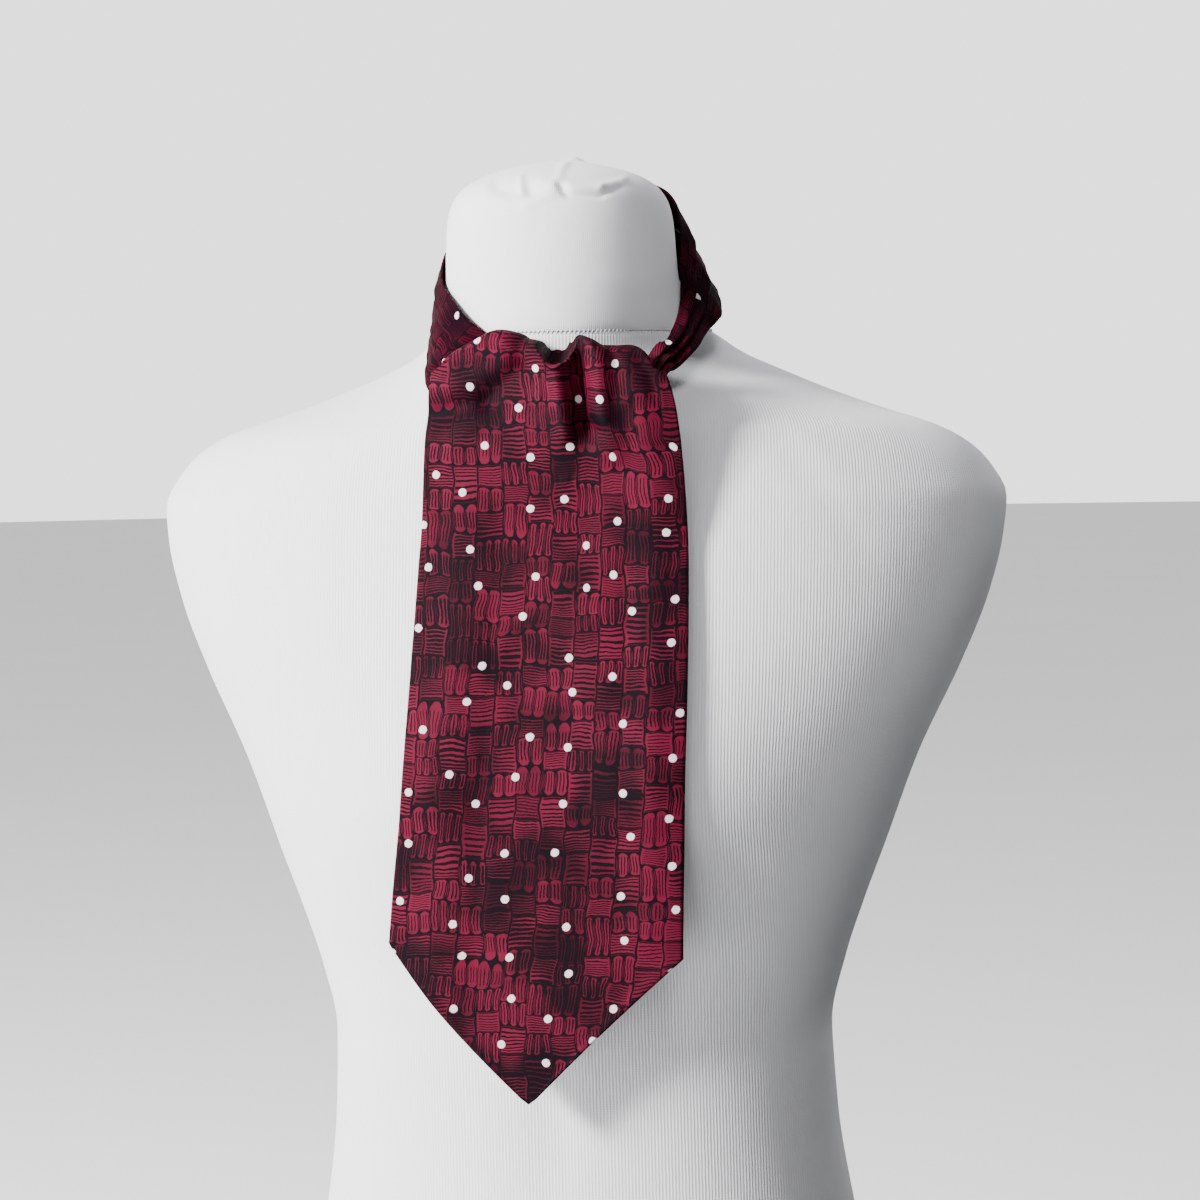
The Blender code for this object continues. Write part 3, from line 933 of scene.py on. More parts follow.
    def radius(self, angle: float, height: np.ndarray) -> np.ndarray:
        """Distance from the neck's middle to the form's surface.

        Args:
            angle: the angle round the neck.
            height: heights.

        Returns:
            The distance at each height.
        """
        width, middle, depth, square, skew = self.ring(height, self.torso + self.neck[1:])
        low, high = np.full(np.shape(height), 15.0), np.full(np.shape(height), 240.0)
        for _ in range(40):
            r = (low + high) / 2
            x, y = r * np.sin(angle), self.neck_y - r * np.cos(angle)
            leant = y - middle - skew * (x / width) ** 2
            inside = np.abs(x / width) ** square + np.abs(leant / depth) ** square < 1
            low, high = np.where(inside, r, low), np.where(inside, high, r)
        return low

    def rings(self, heights: np.ndarray, inset: np.ndarray, rows: Sequence[Ring], columns: int) -> np.ndarray:
        """Points round the form, from the middle of its back round to there again.

        Args:
            heights: the heights of the rings.
            inset: how far each ring is drawn in.
            rows: the table to read.
            columns: how many points a ring has, its last on its first.

        Returns:
            Rings by columns by 3.
        """
        width, middle, depth, square, skew = (v[:, None] for v in self.ring(heights, rows))
        turn = np.linspace(math.pi / 2, math.pi * 2.5, columns + 1)
        turn[-1] = turn[0]
        c, s, z = np.cos(turn), np.sin(turn), heights[:, None] + 0 * turn
        x = width * np.sign(c) * np.abs(c) ** (2 / square)
        bulge = np.sign(s) * np.abs(s) ** (2 / square)
        y = middle + depth * bulge + skew * (x / width) ** 2
        y = y + np.where(s < 0, self.swell(Face.FRONT, x, z), self.swell(Face.BACK, x, z)) * bulge
        drawn = inset[:, None]
        return np.stack([x * (1 - drawn / width), middle + (y - middle) * (1 - drawn / depth), z], -1)

    def even_heights(self, rows: Sequence[Ring], step: float) -> np.ndarray:
        """Heights a like distance apart, measured along the form's front and side.

        Args:
            rows: the table.
            step: the distance.

        Returns:
            The heights.
        """
        fine = np.linspace(rows[0].height, rows[-1].height, 1500)
        width, middle, depth, _, _ = self.ring(fine, rows)
        far = np.hypot(np.diff(fine), (np.abs(np.diff(width)) + np.abs(np.diff(depth - middle))) / 2)
        run = np.concatenate([[0], np.cumsum(far)])
        return np.interp(np.linspace(0, run[-1], max(2, round(run[-1] / step))), run, fine)

    def close(self, name: str, points: np.ndarray, look: bpy.types.Material) -> bpy.types.Object:
        """A closed solid from rings of points, with a point in the middle of each end.

        Args:
            name: the object's name.
            points: rings by columns by 3.
            look: its material.

        Returns:
            The object.
        """
        rows, columns = points.shape[:2]
        uv = cloth_lengths(points)
        uv[..., 1] = ((points[..., 2] - self.seam_height) * MM).astype(float)
        number = np.arange(rows * columns).reshape(rows, columns)
        quads = np.stack([number[:-1, :-1], number[:-1, 1:], number[1:, 1:], number[1:, :-1]], -1).reshape(-1, 4)
        ends, fans = [], []
        for k, (row, turned) in enumerate(((0, False), (rows - 1, True))):
            ends.append(points[row, :-1].mean(0))
            hub = np.full(columns - 1, rows * columns + k)
            pair = (number[row, 1:], number[row, :-1]) if not turned else (number[row, :-1], number[row, 1:])
            fans.append(np.stack([hub, pair[0], pair[1], pair[1]], -1))
        every = np.concatenate([points.reshape(-1, 3), np.array(ends)])
        flat = np.concatenate([uv.reshape(-1, 2), np.zeros((2, 2))])
        return make_object(name, every, np.concatenate([quads, *fans]), flat, look, merge=True)

    def seam_inset(self, heights: np.ndarray) -> np.ndarray:
        """How far the cover is drawn in by the seam.

        Args:
            heights: heights.

        Returns:
            The distance at each.
        """
        return self.seam_tuck * np.exp(-(((heights - self.seam_height) / self.seam_round) ** 2))

    def make_torso(self, look: bpy.types.Material) -> bpy.types.Object:
        """Args:
            look: the cover's material.

        Returns:
            The torso.
        """
        heights = self.even_heights(self.torso, self.torso_step)
        low = np.array([0.0, 0.5, 1.4, 2.8])
        high = self.seam_height - np.array([4.2, 3.2, 2.4, 1.7, 1.1, 0.6, 0.2, 0.0])
        kept = (heights > self.base_round) & (heights < high[0] - 1.0)
        heights = np.concatenate([low, [self.base_round], heights[kept], high])
        share = 1 - np.clip(heights / self.base_round, 0, 1)
        inset = self.base_round * (1 - np.sqrt(1 - share**2)) + self.seam_inset(heights)
        points = self.rings(heights, inset, self.torso, self.torso_columns)
        rise = fold_rise(self.drags, points[..., 0], points[..., 2]) * (points[..., 1] < 20)
        rise += fold_rise(self.drags, -points[..., 0] + 9, points[..., 2] + 14) * (points[..., 1] > 20) * 0.8
        return self.close("torso_cover", self.pushed(points, rise), look)

    def make_neck(self, look: bpy.types.Material) -> bpy.types.Object:
        """Args:
            look: the cover's material.

        Returns:
            The neck's cap.
        """
        heights = self.even_heights(self.neck, self.neck_step)
        low = self.seam_height + self.seam_gap + np.array([0.0, 0.3, 0.8, 1.4, 2.1, 3.0, 4.0])
        heights = np.concatenate([low, heights[heights > low[-1] + 0.6]])
        points = self.rings(heights, self.seam_inset(heights), self.neck, self.neck_columns)
        front = ease(-points[..., 1], 48.0, 66.0)
        rise = fold_rise(self.puckers, points[..., 0], points[..., 2]) * front
        x, y, half_width, height = self.peak
        far = np.hypot(points[..., 0] - x, points[..., 1] - y) / half_width
        rise += height * np.exp(-(far**2)) * (points[..., 2] > 690)
        return self.close("neck_cap", self.pushed(points, rise), look)

    def pushed(self, points: np.ndarray, rise: np.ndarray) -> np.ndarray:
        """Moves points out from the form's surface.

        Args:
            points: rings by columns by 3, their last column on their first.
            rise: how far each moves.

        Returns:
            The moved points.
        """
        normal = grid_normals(points)
        middle = points.mean(axis=1, keepdims=True)
        sign = np.sign(np.sum(normal * (points - middle), axis=-1, keepdims=True))
        moved = points + normal * sign * rise[..., None]
        moved[:, -1] = moved[:, 0]
        return moved


@dataclass
class SeamStitches:
    """Slanted stitches along the neck seam, by Geometry Nodes. Sizes in metres."""

    form: DressForm
    pitch: float = 0.0023
    length: float = 0.0026
    thickness: float = 0.00042
    slant: float = math.radians(62)
    proud: float = -0.35

    def path(self) -> bpy.types.Object:
        """The closed line that the stitches follow.

        Returns:
            An object of edges.
        """
        height = np.array([self.form.seam_height + self.form.seam_gap / 2])
        drawn = self.form.seam_inset(height) - self.proud * -1
        ring = self.form.rings(height, drawn, self.form.torso, 240)[0, :-1]
        ring = (ring + np.array([0, SHIFT_BACK, 0])) * MM
        mesh = bpy.data.meshes.new("seam_path")
        mesh.from_pydata(ring.tolist(), [(i, (i + 1) % len(ring)) for i in range(len(ring))], [])
        made = bpy.data.objects.new("seam_path", mesh)
        bpy.context.scene.collection.objects.link(made)
        return made

    def tree(self, look: bpy.types.Material) -> tuple[bpy.types.NodeTree, dict[str, str]]:
        """Builds the node tree.

        Args:
            look: the thread's material.

        Returns:
            The tree, and the identifier of each named input.
        """
        tree = bpy.data.node_groups.new("seam_stitches", "GeometryNodeTree")
        face = tree.interface
        face.new_socket("Path", in_out="INPUT", socket_type="NodeSocketGeometry")
        names = ("Pitch", "Length", "Thickness", "Slant")
        found = {n: face.new_socket(n, in_out="INPUT", socket_type="NodeSocketFloat").identifier for n in names}
        face.new_socket("Stitches", in_out="OUTPUT", socket_type="NodeSocketGeometry")
        new, link = tree.nodes.new, tree.links.new
        given, out = new("NodeGroupInput"), new("NodeGroupOutput")
        curve, even = new("GeometryNodeMeshToCurve"), new("GeometryNodeResampleCurve")
        even.mode = "LENGTH"
        stitch, shaped = new("GeometryNodeMeshIcoSphere"), new("ShaderNodeCombineXYZ")
        stitch.inputs["Subdivisions"].default_value = 2
        stitch.inputs["Radius"].default_value = 0.5
        tangent, aside = new("GeometryNodeInputTangent"), new("ShaderNodeVectorMath")
        aside.operation = "CROSS_PRODUCT"
        aside.inputs[1].default_value = (0.0, 0.0, 1.0)
        along, lean = new("FunctionNodeAlignRotationToVector"), new("FunctionNodeAxisAngleToRotation")
        along.axis = "X"
        turned, placed = new("FunctionNodeRotateRotation"), new("GeometryNodeInstanceOnPoints")
        turned.rotation_space = "GLOBAL"
        real, dressed = new("GeometryNodeRealizeInstances"), new("GeometryNodeSetMaterial")
        dressed.inputs["Material"].default_value = look
        link(given.outputs["Path"], curve.inputs["Mesh"])
        link(curve.outputs["Curve"], even.inputs["Curve"])
        link(given.outputs["Pitch"], even.inputs["Length"])
        link(given.outputs["Length"], shaped.inputs["X"])
        link(given.outputs["Thickness"], shaped.inputs["Y"])
        link(given.outputs["Thickness"], shaped.inputs["Z"])
        link(tangent.outputs["Tangent"], aside.inputs[0])
        link(tangent.outputs["Tangent"], along.inputs["Vector"])
        link(aside.outputs["Vector"], lean.inputs["Axis"])
        link(given.outputs["Slant"], lean.inputs["Angle"])
        link(along.outputs["Rotation"], turned.inputs["Rotation"])
        link(lean.outputs["Rotation"], turned.inputs["Rotate By"])
        link(even.outputs["Curve"], placed.inputs["Points"])
        link(stitch.outputs["Mesh"], placed.inputs["Instance"])
        link(turned.outputs["Rotation"], placed.inputs["Rotation"])
        link(shaped.outputs["Vector"], placed.inputs["Scale"])
        link(placed.outputs["Instances"], real.inputs["Geometry"])
        link(real.outputs["Geometry"], dressed.inputs["Geometry"])
        link(dressed.outputs["Geometry"], out.inputs["Stitches"])
        return tree, found

    def make(self, look: bpy.types.Material) -> bpy.types.Object:
        """Args:
            look: the thread's material.

        Returns:
            The stitches, as one plain mesh.
        """
        path = self.path()
        tree, found = self.tree(look)
        modifier = path.modifiers.new("stitches", "NODES")
        modifier.node_group = tree
        sizes = {"Pitch": self.pitch, "Length": self.length, "Thickness": self.thickness, "Slant": self.slant}
        for name, size in sizes.items():
            modifier[found[name]] = size
        evaluated = path.evaluated_get(bpy.context.evaluated_depsgraph_get())
        mesh = bpy.data.meshes.new_from_object(evaluated)
        mesh.shade_smooth()
        path.modifiers.clear()
        bpy.data.objects.remove(path, do_unlink=True)
        made = bpy.data.objects.new("neck_seam_stitches", mesh)
        bpy.context.scene.collection.objects.link(made)
        return made


@dataclass
class NeckBand:
    """The pleated strip round the neck, made in stretches, and the crossing at the throat."""

    form: DressForm
    wall: float = 1.1
    inner_wall: float = 1.7
    wrap_wall: float = 3.5
    pleats: int = 3
    pleat_rise: float = 3.4
    left_rise: float = 2.4
    lap: float = 1.5
    # The out value at which the painted crease shade starts in a pleat, and how far below that it reaches full
    # strength.
    tuck: tuple[float, float] = (0.12, 0.2)
    hidden: float = 0.021
    end_out: float = 0.5
    wrap_out: float = 7.1
    wrap_low: float = 570.0
    wrap_top: float = 590.0
    wrap_join: tuple[float, float] = (41.0, 51.0)
    wrap_dent: tuple[float, float, float] = (21.5, 7.0, 3.4)
    wrap_print: tuple[float, float] = (0.31, 0.08)
    fade: tuple[float, float] = (-42.0, -30.0)
    seam_gap: float = 0.3
    mean_radius: float = 61.0
    rows: tuple[Band, ...] = (
        Band(-180, 61.5, 690, 64, 647),
        Band(-160, 61.5, 686, 64, 644),
        Band(-138, 61.0, 679, 64, 638),
        Band(-116, 60.5, 668, 64.5, 630),
        Band(-96, 60.0, 657, 65, 621),
        Band(-80, 60.0, 646.5, 65.5, 609),
        Band(-66, 60.0, 637.0, 69, 598),
        Band(-52, 60.5, 628.5, 75, 585),
        Band(-40, 61.0, 620.0, 77, 573),
        Band(-30, 59.0, 613.0, 64, 568.3),
        Band(-16, 55.5, 604.0, 58, 568.3),
        Band(52, 74, 606.5, 80, 592),
        Band(62, 70, 613, 81, 600),
        Band(76, 65, 628, 77, 610),
        Band(90, 60.5, 647, 79.5, 619),
        Band(104, 60.0, 666, 77, 630),
        Band(120, 60.5, 682, 73, 637),
        Band(140, 61.5, 690, 68, 640),
        Band(160, 62.0, 692, 65, 644),
        Band(180, 61.5, 690, 64, 647),
    )

    def profile(self, length: float) -> tuple[np.ndarray, np.ndarray, np.ndarray]:
        """The way across the strip, over its pleats: each one's rounded edge laps over the next.

        Args:
            length: the strip's width.

        Returns:
            Places across, in millimetres, how far each stands out, 0 to 1, and which pleat each is on.
        """
        corners, turns = [(0.0, 0.25)], []
        for k in range(self.pleats):
            start, end = length * k / self.pleats, length * (k + 1) / self.pleats
            corners += [(start + (end - start) * 0.30, 0.42), (start + (end - start) * 0.62, 0.78)]
            corners += [(end - 0.9, 1.0), (end, 0.82), (end - 0.1, 0.45)]
            if k + 1 < self.pleats:
                turns.append(len(corners) - 1)
                corners += [(end - self.lap, 0.05), (end - self.lap * 0.4, -0.16), (end + 1.6, -0.12)]
        knots = np.array(corners)
        along = np.concatenate([[0], np.cumsum(np.hypot(np.diff(knots[:, 0]), np.diff(knots[:, 1]) * 2))])
        at = np.linspace(0, along[-1], 15 * self.pleats + 1)
        pleat = (at[:, None] > along[turns][None, :] + 0.3).sum(1)
        return smooth(along, knots[:, 0], at), smooth(along, knots[:, 1], at), pleat

    def edges(self, angle: float) -> list[float]:
        """Args:
            angle: the angle round the neck, in degrees.

        Returns:
            Radius and height of the upper edge, then of the lower edge.
        """
        names = ("upper", "upper_height", "lower", "lower_height")
        return [float(column(self.rows, name, angle, "angle")) for name in names]

    def section(
        self, degrees: float, r: np.ndarray, z: np.ndarray, depth: float, rise: float
    ) -> tuple[np.ndarray, np.ndarray, np.ndarray]:
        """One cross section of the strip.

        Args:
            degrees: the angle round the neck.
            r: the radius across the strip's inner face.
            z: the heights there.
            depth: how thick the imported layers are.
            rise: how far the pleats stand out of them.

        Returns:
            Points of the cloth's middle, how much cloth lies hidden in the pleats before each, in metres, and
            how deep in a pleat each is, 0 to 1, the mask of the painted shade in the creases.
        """
        step = np.hypot(np.diff(r), np.diff(z))
        run = np.concatenate([[0], np.cumsum(step)])
        places, out, pleat = self.profile(float(run[-1]))
        shake = ripple(degrees, ((0.5, 37.0, 0.1), (0.35, 17.0, 0.6)))
        places = np.clip(places + shake * np.sin(places / run[-1] * math.pi), 0, run[-1])
        radius, height = np.interp(places, run, r), np.interp(places, run, z)
        dr, dz = np.gradient(r, run), np.gradient(z, run)
        out_r, out_z = -np.interp(places, run, dz), np.interp(places, run, dr)
        size = np.hypot(out_r, out_z)
        waver = 1 + ripple(degrees + places * 0.8, ((0.10, 23.0, 0.3), (0.07, 11.0, 0.8)))
        stand = self.wall / 2 + (depth - self.wall) * (0.35 + 0.65 * np.sin(places / run[-1] * math.pi) ** 0.4)
        stand = stand + rise * out * waver
        radius, height = radius + out_r / size * stand, height + out_z / size * stand
        turn = math.radians(degrees)
        points = np.stack([radius * math.sin(turn), self.form.neck_y - radius * math.cos(turn), height], -1)
        return points, pleat * self.hidden, np.clip((self.tuck[0] - out) / self.tuck[1], 0, 1)

    def make_stretch(
        self, name: str, start: float, end: float, look: bpy.types.Material, uv_start: tuple[float, float]
    ) -> bpy.types.Object:
        """A stretch of the neckband.

        Args:
            name: the object's name.
            start: its first angle, in degrees.
            end: its last.
            look: its material.
            uv_start: where its pattern starts, in metres.

        Returns:
            The object.
        """
        short = math.degrees(self.seam_gap / 2 / self.mean_radius)
        u = np.linspace(0, 1, 25)
        grid = []
        for angle in np.linspace(start + short, end - short, round((end - start) / 1.3)):
            wrapped = float(angle if angle <= 180 else angle - 360)
            upper, top, lower, low = self.edges(wrapped)
            z = top + (low - top) * u
            form = self.form.radius(math.radians(wrapped), z) + self.end_out
            r = larger(upper + (lower - upper) * u, form)
            plain = float(ease(wrapped, *self.fade)) * (wrapped < 0)
            left = float(ease(angle if angle > 0 else angle + 360, 150, 235))
            rise = self.pleat_rise + (self.left_rise - self.pleat_rise) * left
            grid.append(self.section(wrapped, r, z, self.inner_wall, rise * (1 - plain)))
        points, hidden, deep = (np.array(part) for part in zip(*grid))
        uv = cloth_lengths(points) + np.array(uv_start)
        uv[..., 0] += hidden
        made = cloth_shell(name, points, np.array([[self.wall]]), look, uv)
        # Painted shade: the depth in the pleats is stored on both faces as the pleat_shade attribute, which darkens the
        # print in the creases.
        shade = np.zeros(len(made.data.vertices), np.float32)
        shade[: deep.size * 2] = np.tile(deep.ravel(), 2)
        made.data.attributes.new("pleat_shade", "FLOAT", "POINT").data.foreach_set("value", shade)
        return made

    def make_wrap(self, name: str, look: bpy.types.Material) -> bpy.types.Object:
        """The crossing at the throat: it carries on from the right band and ends under the blade.

        Args:
            name: the object's name.
            look: its material.

        Returns:
            The object.
        """
        first, last = -30.0, 52.0
        upper, top, lower, low = self.edges(last)
        u = np.linspace(0, 1, 25)
        grid = []
        for angle in np.linspace(first, last - math.degrees(self.seam_gap / 2 / self.mean_radius), 64):
            join = float(ease(angle, *self.wrap_join))
            z = (self.wrap_top + (top - self.wrap_top) * join) * (1 - u)
            z = z + (self.wrap_low + (low - self.wrap_low) * join) * u
            form = self.form.radius(math.radians(angle), z)
            band = larger(upper + (lower - upper) * u, form + self.end_out)
            at, half_angle, deep = self.wrap_dent
            out = self.wrap_out - deep * math.exp(-(((angle - at) / half_angle) ** 2))
            r = (form + out) * (1 - join) + band * join
            depth = self.wrap_wall + (self.inner_wall - self.wrap_wall) * join
            grid.append(self.section(float(angle), r, z, depth, self.pleat_rise * join)[0])
        points = np.array(grid)
        return cloth_shell(name, points, np.array([[self.wall]]), look, cloth_lengths(points) + self.wrap_print)


@dataclass
class Blades:
    """The two wide ends: the front one, turned over at the throat, and the one under it."""

    form: DressForm
    wall: float = 1.5
    edge_wall: float = 2.1
    cad_wall: float = 2.4
    under_wall: float = 2.0
    rest_gap: float = 0.7
    under_gap: float = 1.0
    corner_slant: float = 6.6
    corner_height: float = 305.0
    tip_height: float = 229.0
    tip_x: float = -6.8
    tip_width: float = 1.6
    bulge_left: float = 4.4
    bulge_right: float = 1.5
    half_blade: float = 72.0
    under_tip_height: float = 258.0
    under_tip_x: float = -2.0
    under_middle_x: float = 5.0
    rear_layer_out: float = 3.9
    front_layer_out: float = 14.8
    rear_low: float = 573.0
    rear_top: float = 612.0
    rear_left: float = -23.0
    rear_right: float = 36.0
    columns: int = 141
    fold_share: float = 0.4
    under_print: tuple[float, float] = (0.07, 0.61)
    front_edges: tuple[Edges, ...] = (
        Edges(612, -48.0, 59.0),
        Edges(598, -51.5, 62.5),
        Edges(586, -53.8, 67.0),
        Edges(576, -54.6, 69.6),
        Edges(556, -55.7, 72.5),
        Edges(530, -57.0, 74.4),
        Edges(497, -59.8, 75.2),
        Edges(464, -62.0, 75.3),
        Edges(426, -64.7, 74.7),
        Edges(386, -68.0, 73.5),
        Edges(331, -74.2, 71.8),
        Edges(305.0, -76.7, 71.1),
    )
    under_edges: tuple[Edges, ...] = (
        Edges(567.0, -42.0, 6.0),
        Edges(550, -46.0, 34.0),
        Edges(520, -49.0, 56.0),
        Edges(465, -53.0, 63.0),
        Edges(400, -60.0, 64.0),
        Edges(330, -65.0, 63.0),
    )
    lips: tuple[Lip, ...] = (
        Lip(-54, 585.0, 592.0),
        Lip(-50.5, 599.5, 601.0),
        Lip(-45, 605.2, 605.5),
        Lip(-33, 611.2, 611.0),
        Lip(-23, 615.6, 614.5),
        Lip(-15.4, 613.0, 613.0),
        Lip(-10, 608.5, 610.5),
        Lip(-1, 607.6, 608.4),
        Lip(2.2, 603.4, 605.0),
        Lip(5.5, 598.4, 603.8),
        Lip(10.5, 596.2, 604.3),
        Lip(15, 597.9, 603.8),
        Lip(18.7, 602.0, 604.6),
        Lip(22, 609.0, 607.6),
        Lip(27, 611.0, 610.5),
        Lip(32, 609.2, 609.5),
        Lip(40, 604.5, 606.5),
        Lip(48, 604.6, 605.8),
        Lip(56, 605.2, 605.0),
        Lip(61, 599.0, 600.0),
        Lip(66, 589.0, 592.0),
    )
    folds: tuple[Fold, ...] = (
        Fold(22, 604, 27, 566, 7.5, -6.5),
        Fold(34, 600, 36, 556, 8.5, 3.0),
        Fold(11, 590, 16, 560, 9.0, 1.8),
        Fold(-46, 588, -17, 599, 11.0, 4.0),
        Fold(-53, 573, -25, 579, 5.0, -2.2),
        Fold(-25, 579, -7, 597, 5.0, -2.4),
        Fold(49, 596, 57, 560, 9.0, 1.6),
        Fold(16, 520, 2, 300, 26.0, -2.0),
        Fold(-38, 520, -54, 280, 18.0, 1.2),
        Fold(61, 540, 58, 320, 14.0, 1.4),
    )
    # Smaller creases than the solid has
    creases: tuple[Fold, ...] = (
        Fold(-51, 592, -40, 606, 2.6, -0.9),
        Fold(-36, 594, -22, 602, 2.2, -0.5),
        Fold(-12, 606, -4, 596, 2.4, -0.8),
        Fold(4, 600, 2, 578, 3.4, 0.9),
        Fold(21.5, 600, 26, 568, 4.6, -2.8),
        Fold(12, 592, 16.5, 562, 4.2, 3.0),
        Fold(31.5, 606, 35, 570, 4.2, 3.0),
        Fold(40, 600, 40, 578, 3.4, -1.2),
        Fold(41, 604, 44, 584, 3.2, -0.8),
        Fold(52, 603, 60, 580, 2.6, -0.7),
        Fold(-30, 572, -44, 552, 6.0, 0.6),
        Fold(30, 556, 22, 500, 8.0, -0.5),
        Fold(-20, 430, -24, 330, 9.0, 0.35),
        Fold(34, 470, 40, 350, 10.0, 0.35),
    )

    # Sideways rolls: the right lobe leans over the deep trough beside it
    rolls: tuple[Fold, ...] = (Fold(27.5, 607, 31, 572, 4.4, -3.0),)
    pocket_x: float = 10.5
    pocket_half: float = 10.0
    pocket_dip: float = 5.5

    def __post_init__(self) -> None:
        """Works out how the cloth hangs: taut over the form's fullest places, and plumb below them."""
        self.heights = np.arange(200.0, 620.0, 4.0)
        x = np.linspace(-62, 78, 29)
        full = self.form.front(x[None, :], self.heights[:, None]).max(1)
        taut = full.copy()
        for i in range(len(self.heights)):
            for j in range(i + 2, len(self.heights)):
                t = (self.heights[i + 1 : j] - self.heights[i]) / (self.heights[j] - self.heights[i])
                taut[i + 1 : j] = np.maximum(taut[i + 1 : j], full[i] + (full[j] - full[i]) * t)
        top = int(np.argmax(taut))
        taut[:top] = taut[top]
        self.hang = taut

    def depth(self, x: np.ndarray, z: np.ndarray, middle: Any) -> np.ndarray:
        """How far forward the innermost hanging cloth lies, clear of the form.

        Args:
            x: places across.
            z: heights.
            middle: the middle of the blade there.

        Returns:
            The distance.
        """
        across = np.clip((x - middle) / self.half_blade, -1.2, 1.2)
        bow = 3.0 + 9.0 * ease(z, 430, 600)
        hung = np.interp(z, self.heights, self.hang) - bow * across**2
        return larger(self.form.front(x, z) + self.rest_gap, hung)

    def front_depth(self, x: np.ndarray, z: np.ndarray) -> np.ndarray:
        """How far forward the middle of the front blade lies.

        Args:
            x: places across.
            z: heights.

        Returns:
            The distance.
        """
        left = column(self.front_edges, "left", z, "height")
        right = column(self.front_edges, "right", z, "height")
        over_under = self.under_wall + self.under_gap
        over_wrap = self.front_layer_out - self.rest_gap + 2.5 * ease(np.abs(x - 8), 20, 60)
        out = over_under + (over_wrap - over_under) * ease(z, 500, 572)
        waves = fold_rise(self.folds, x, z)
        calm = np.where(z < 540, np.maximum(waves, 0) + 0.35 * waves, waves)
        base = self.depth(x, z, (left + right) / 2)
        fine = fold_rise(self.creases, x, z)
        return base + out + np.maximum(calm, -out + over_under) + fine + self.cad_wall / 2

    def fall_row(self, share: np.ndarray, z: np.ndarray, edges: Sequence[Edges]) -> np.ndarray:
        """Places across a falling blade.

        Args:
            share: 0 at its left edge to 1 at its right.
            z: heights.
            edges: its table of edges.

        Returns:
            The places.
        """
        left, right = column(edges, "left", z, "height"), column(edges, "right", z, "height")
        return left + (right - left) * share

    def point_row(
        self, share: np.ndarray, t: float, corners: np.ndarray, corner: Edges, tip: float, tip_x: float
    ) -> tuple[np.ndarray, np.ndarray]:
        """Places across a blade's point.

        Args:
            share: 0 at its left edge to 1 at its right.
            t: 0 at its corners to 1 at its tip.
            corners: height of the line between the corners.
            corner: its last edges.
            tip: the tip's height.
            tip_x: where the tip is.

        Returns:
            Places across and heights.
        """
        swollen = math.sin(math.pi * t)
        left = corner.left + (tip_x - self.tip_width / 2 - corner.left) * t - self.bulge_left * swollen
        right = corner.right + (tip_x + self.tip_width / 2 - corner.right) * t - self.bulge_right * swollen
        return left + (right - left) * share, corners + (tip - corners) * t

    def walls(self, rows: int, columns: int) -> np.ndarray:
        """Cloth thickness, more at the edges, where the seam's turnings lie inside.

        Args:
            rows: how many rows the grid has.
            columns: how many columns.

        Returns:
            Rows by columns.
        """
        share = np.abs(np.linspace(-1, 1, columns))
        return np.broadcast_to(self.wall + (self.edge_wall - self.wall) * ease(share, 0.86, 0.96), (rows, columns))

    def make_under(self, name: str, look: bpy.types.Material) -> bpy.types.Object:
        """Args:
            name: the object's name.
            look: its material.

        Returns:
            The under blade.
        """
        share = np.linspace(0, 1, 61)
        top, corner = self.under_edges[0], self.under_edges[-1]
        places = []
        for height in np.linspace(top.height, corner.height, 60):
            z = np.full_like(share, height)
            places.append((self.fall_row(share, z, self.under_edges), z))
        corners = np.full_like(share, corner.height)
        for t in np.linspace(0, 1, 21)[1:]:
            places.append(self.point_row(share, t, corners, corner, self.under_tip_height, self.under_tip_x))
        x, z = np.array([p[0] for p in places]), np.array([p[1] for p in places])
        y = -(self.depth(x, z, self.under_middle_x) + self.under_wall / 2)
        wall = np.full(x.shape, self.wall)
        return cloth_shell(name, np.stack([x, y, z], -1), wall, look, np.stack([x, -z], -1) * MM + self.under_print)

    def make_front(self, name: str, look: bpy.types.Material) -> bpy.types.Object:
        """Up behind the crossing, over in ruffles, and down to the point.

        Args:
            name: the object's name.
            look: its material.

        Returns:
            The front blade.
        """
        share = np.linspace(0, 1, self.columns)
        lip_x = self.front_edges[0].left + (self.front_edges[0].right - self.front_edges[0].left) * share
        rear_x = self.rear_left + (self.rear_right - self.rear_left) * share
        lip = column(self.lips, "front", lip_x, "x")
        rear = np.minimum(column(self.lips, "rear", lip_x, "x"), self.rear_top)
        rear_out = self.rear_layer_out + self.cad_wall / 2
        front_y = -self.front_depth(lip_x, lip - 6.0)
        rear_y = -(self.form.front(rear_x, rear - 6.0) + rear_out)
        pocket = np.exp(-(((lip_x - self.pocket_x) / self.pocket_half) ** 2))
        arch = np.abs(front_y - rear_y) / 2 * (1 - pocket) - self.pocket_dip * pocket
        radius = np.maximum(arch, 0)
        grid = []
        rear_rows, turn_rows = 9, 25
        for t in np.linspace(0, 1, rear_rows + 1)[:-1]:
            z = self.rear_low + (rear - radius - self.rear_low) * t
            grid.append(np.stack([rear_x, -(self.form.front(rear_x, z) + rear_out), z], -1))
        start = lip - radius
        rolled = fold_rise(self.rolls, lip_x, start)
        for turn in np.linspace(0, math.pi, turn_rows):
            across = (1 - math.cos(turn)) / 2
            z = rear - radius + (lip - rear) * across + arch * math.sin(turn)
            x, y = rear_x + (lip_x + rolled - rear_x) * across, rear_y + (front_y - rear_y) * across
            grid.append(np.stack([x, y, z], -1))
        slant = self.corner_slant * (0.5 - share)
        for t in np.linspace(1, 0, 130)[1:]:
            z = self.corner_height + (start - self.corner_height) * t + slant * (1 - t)
            x = self.fall_row(share, z, self.front_edges)
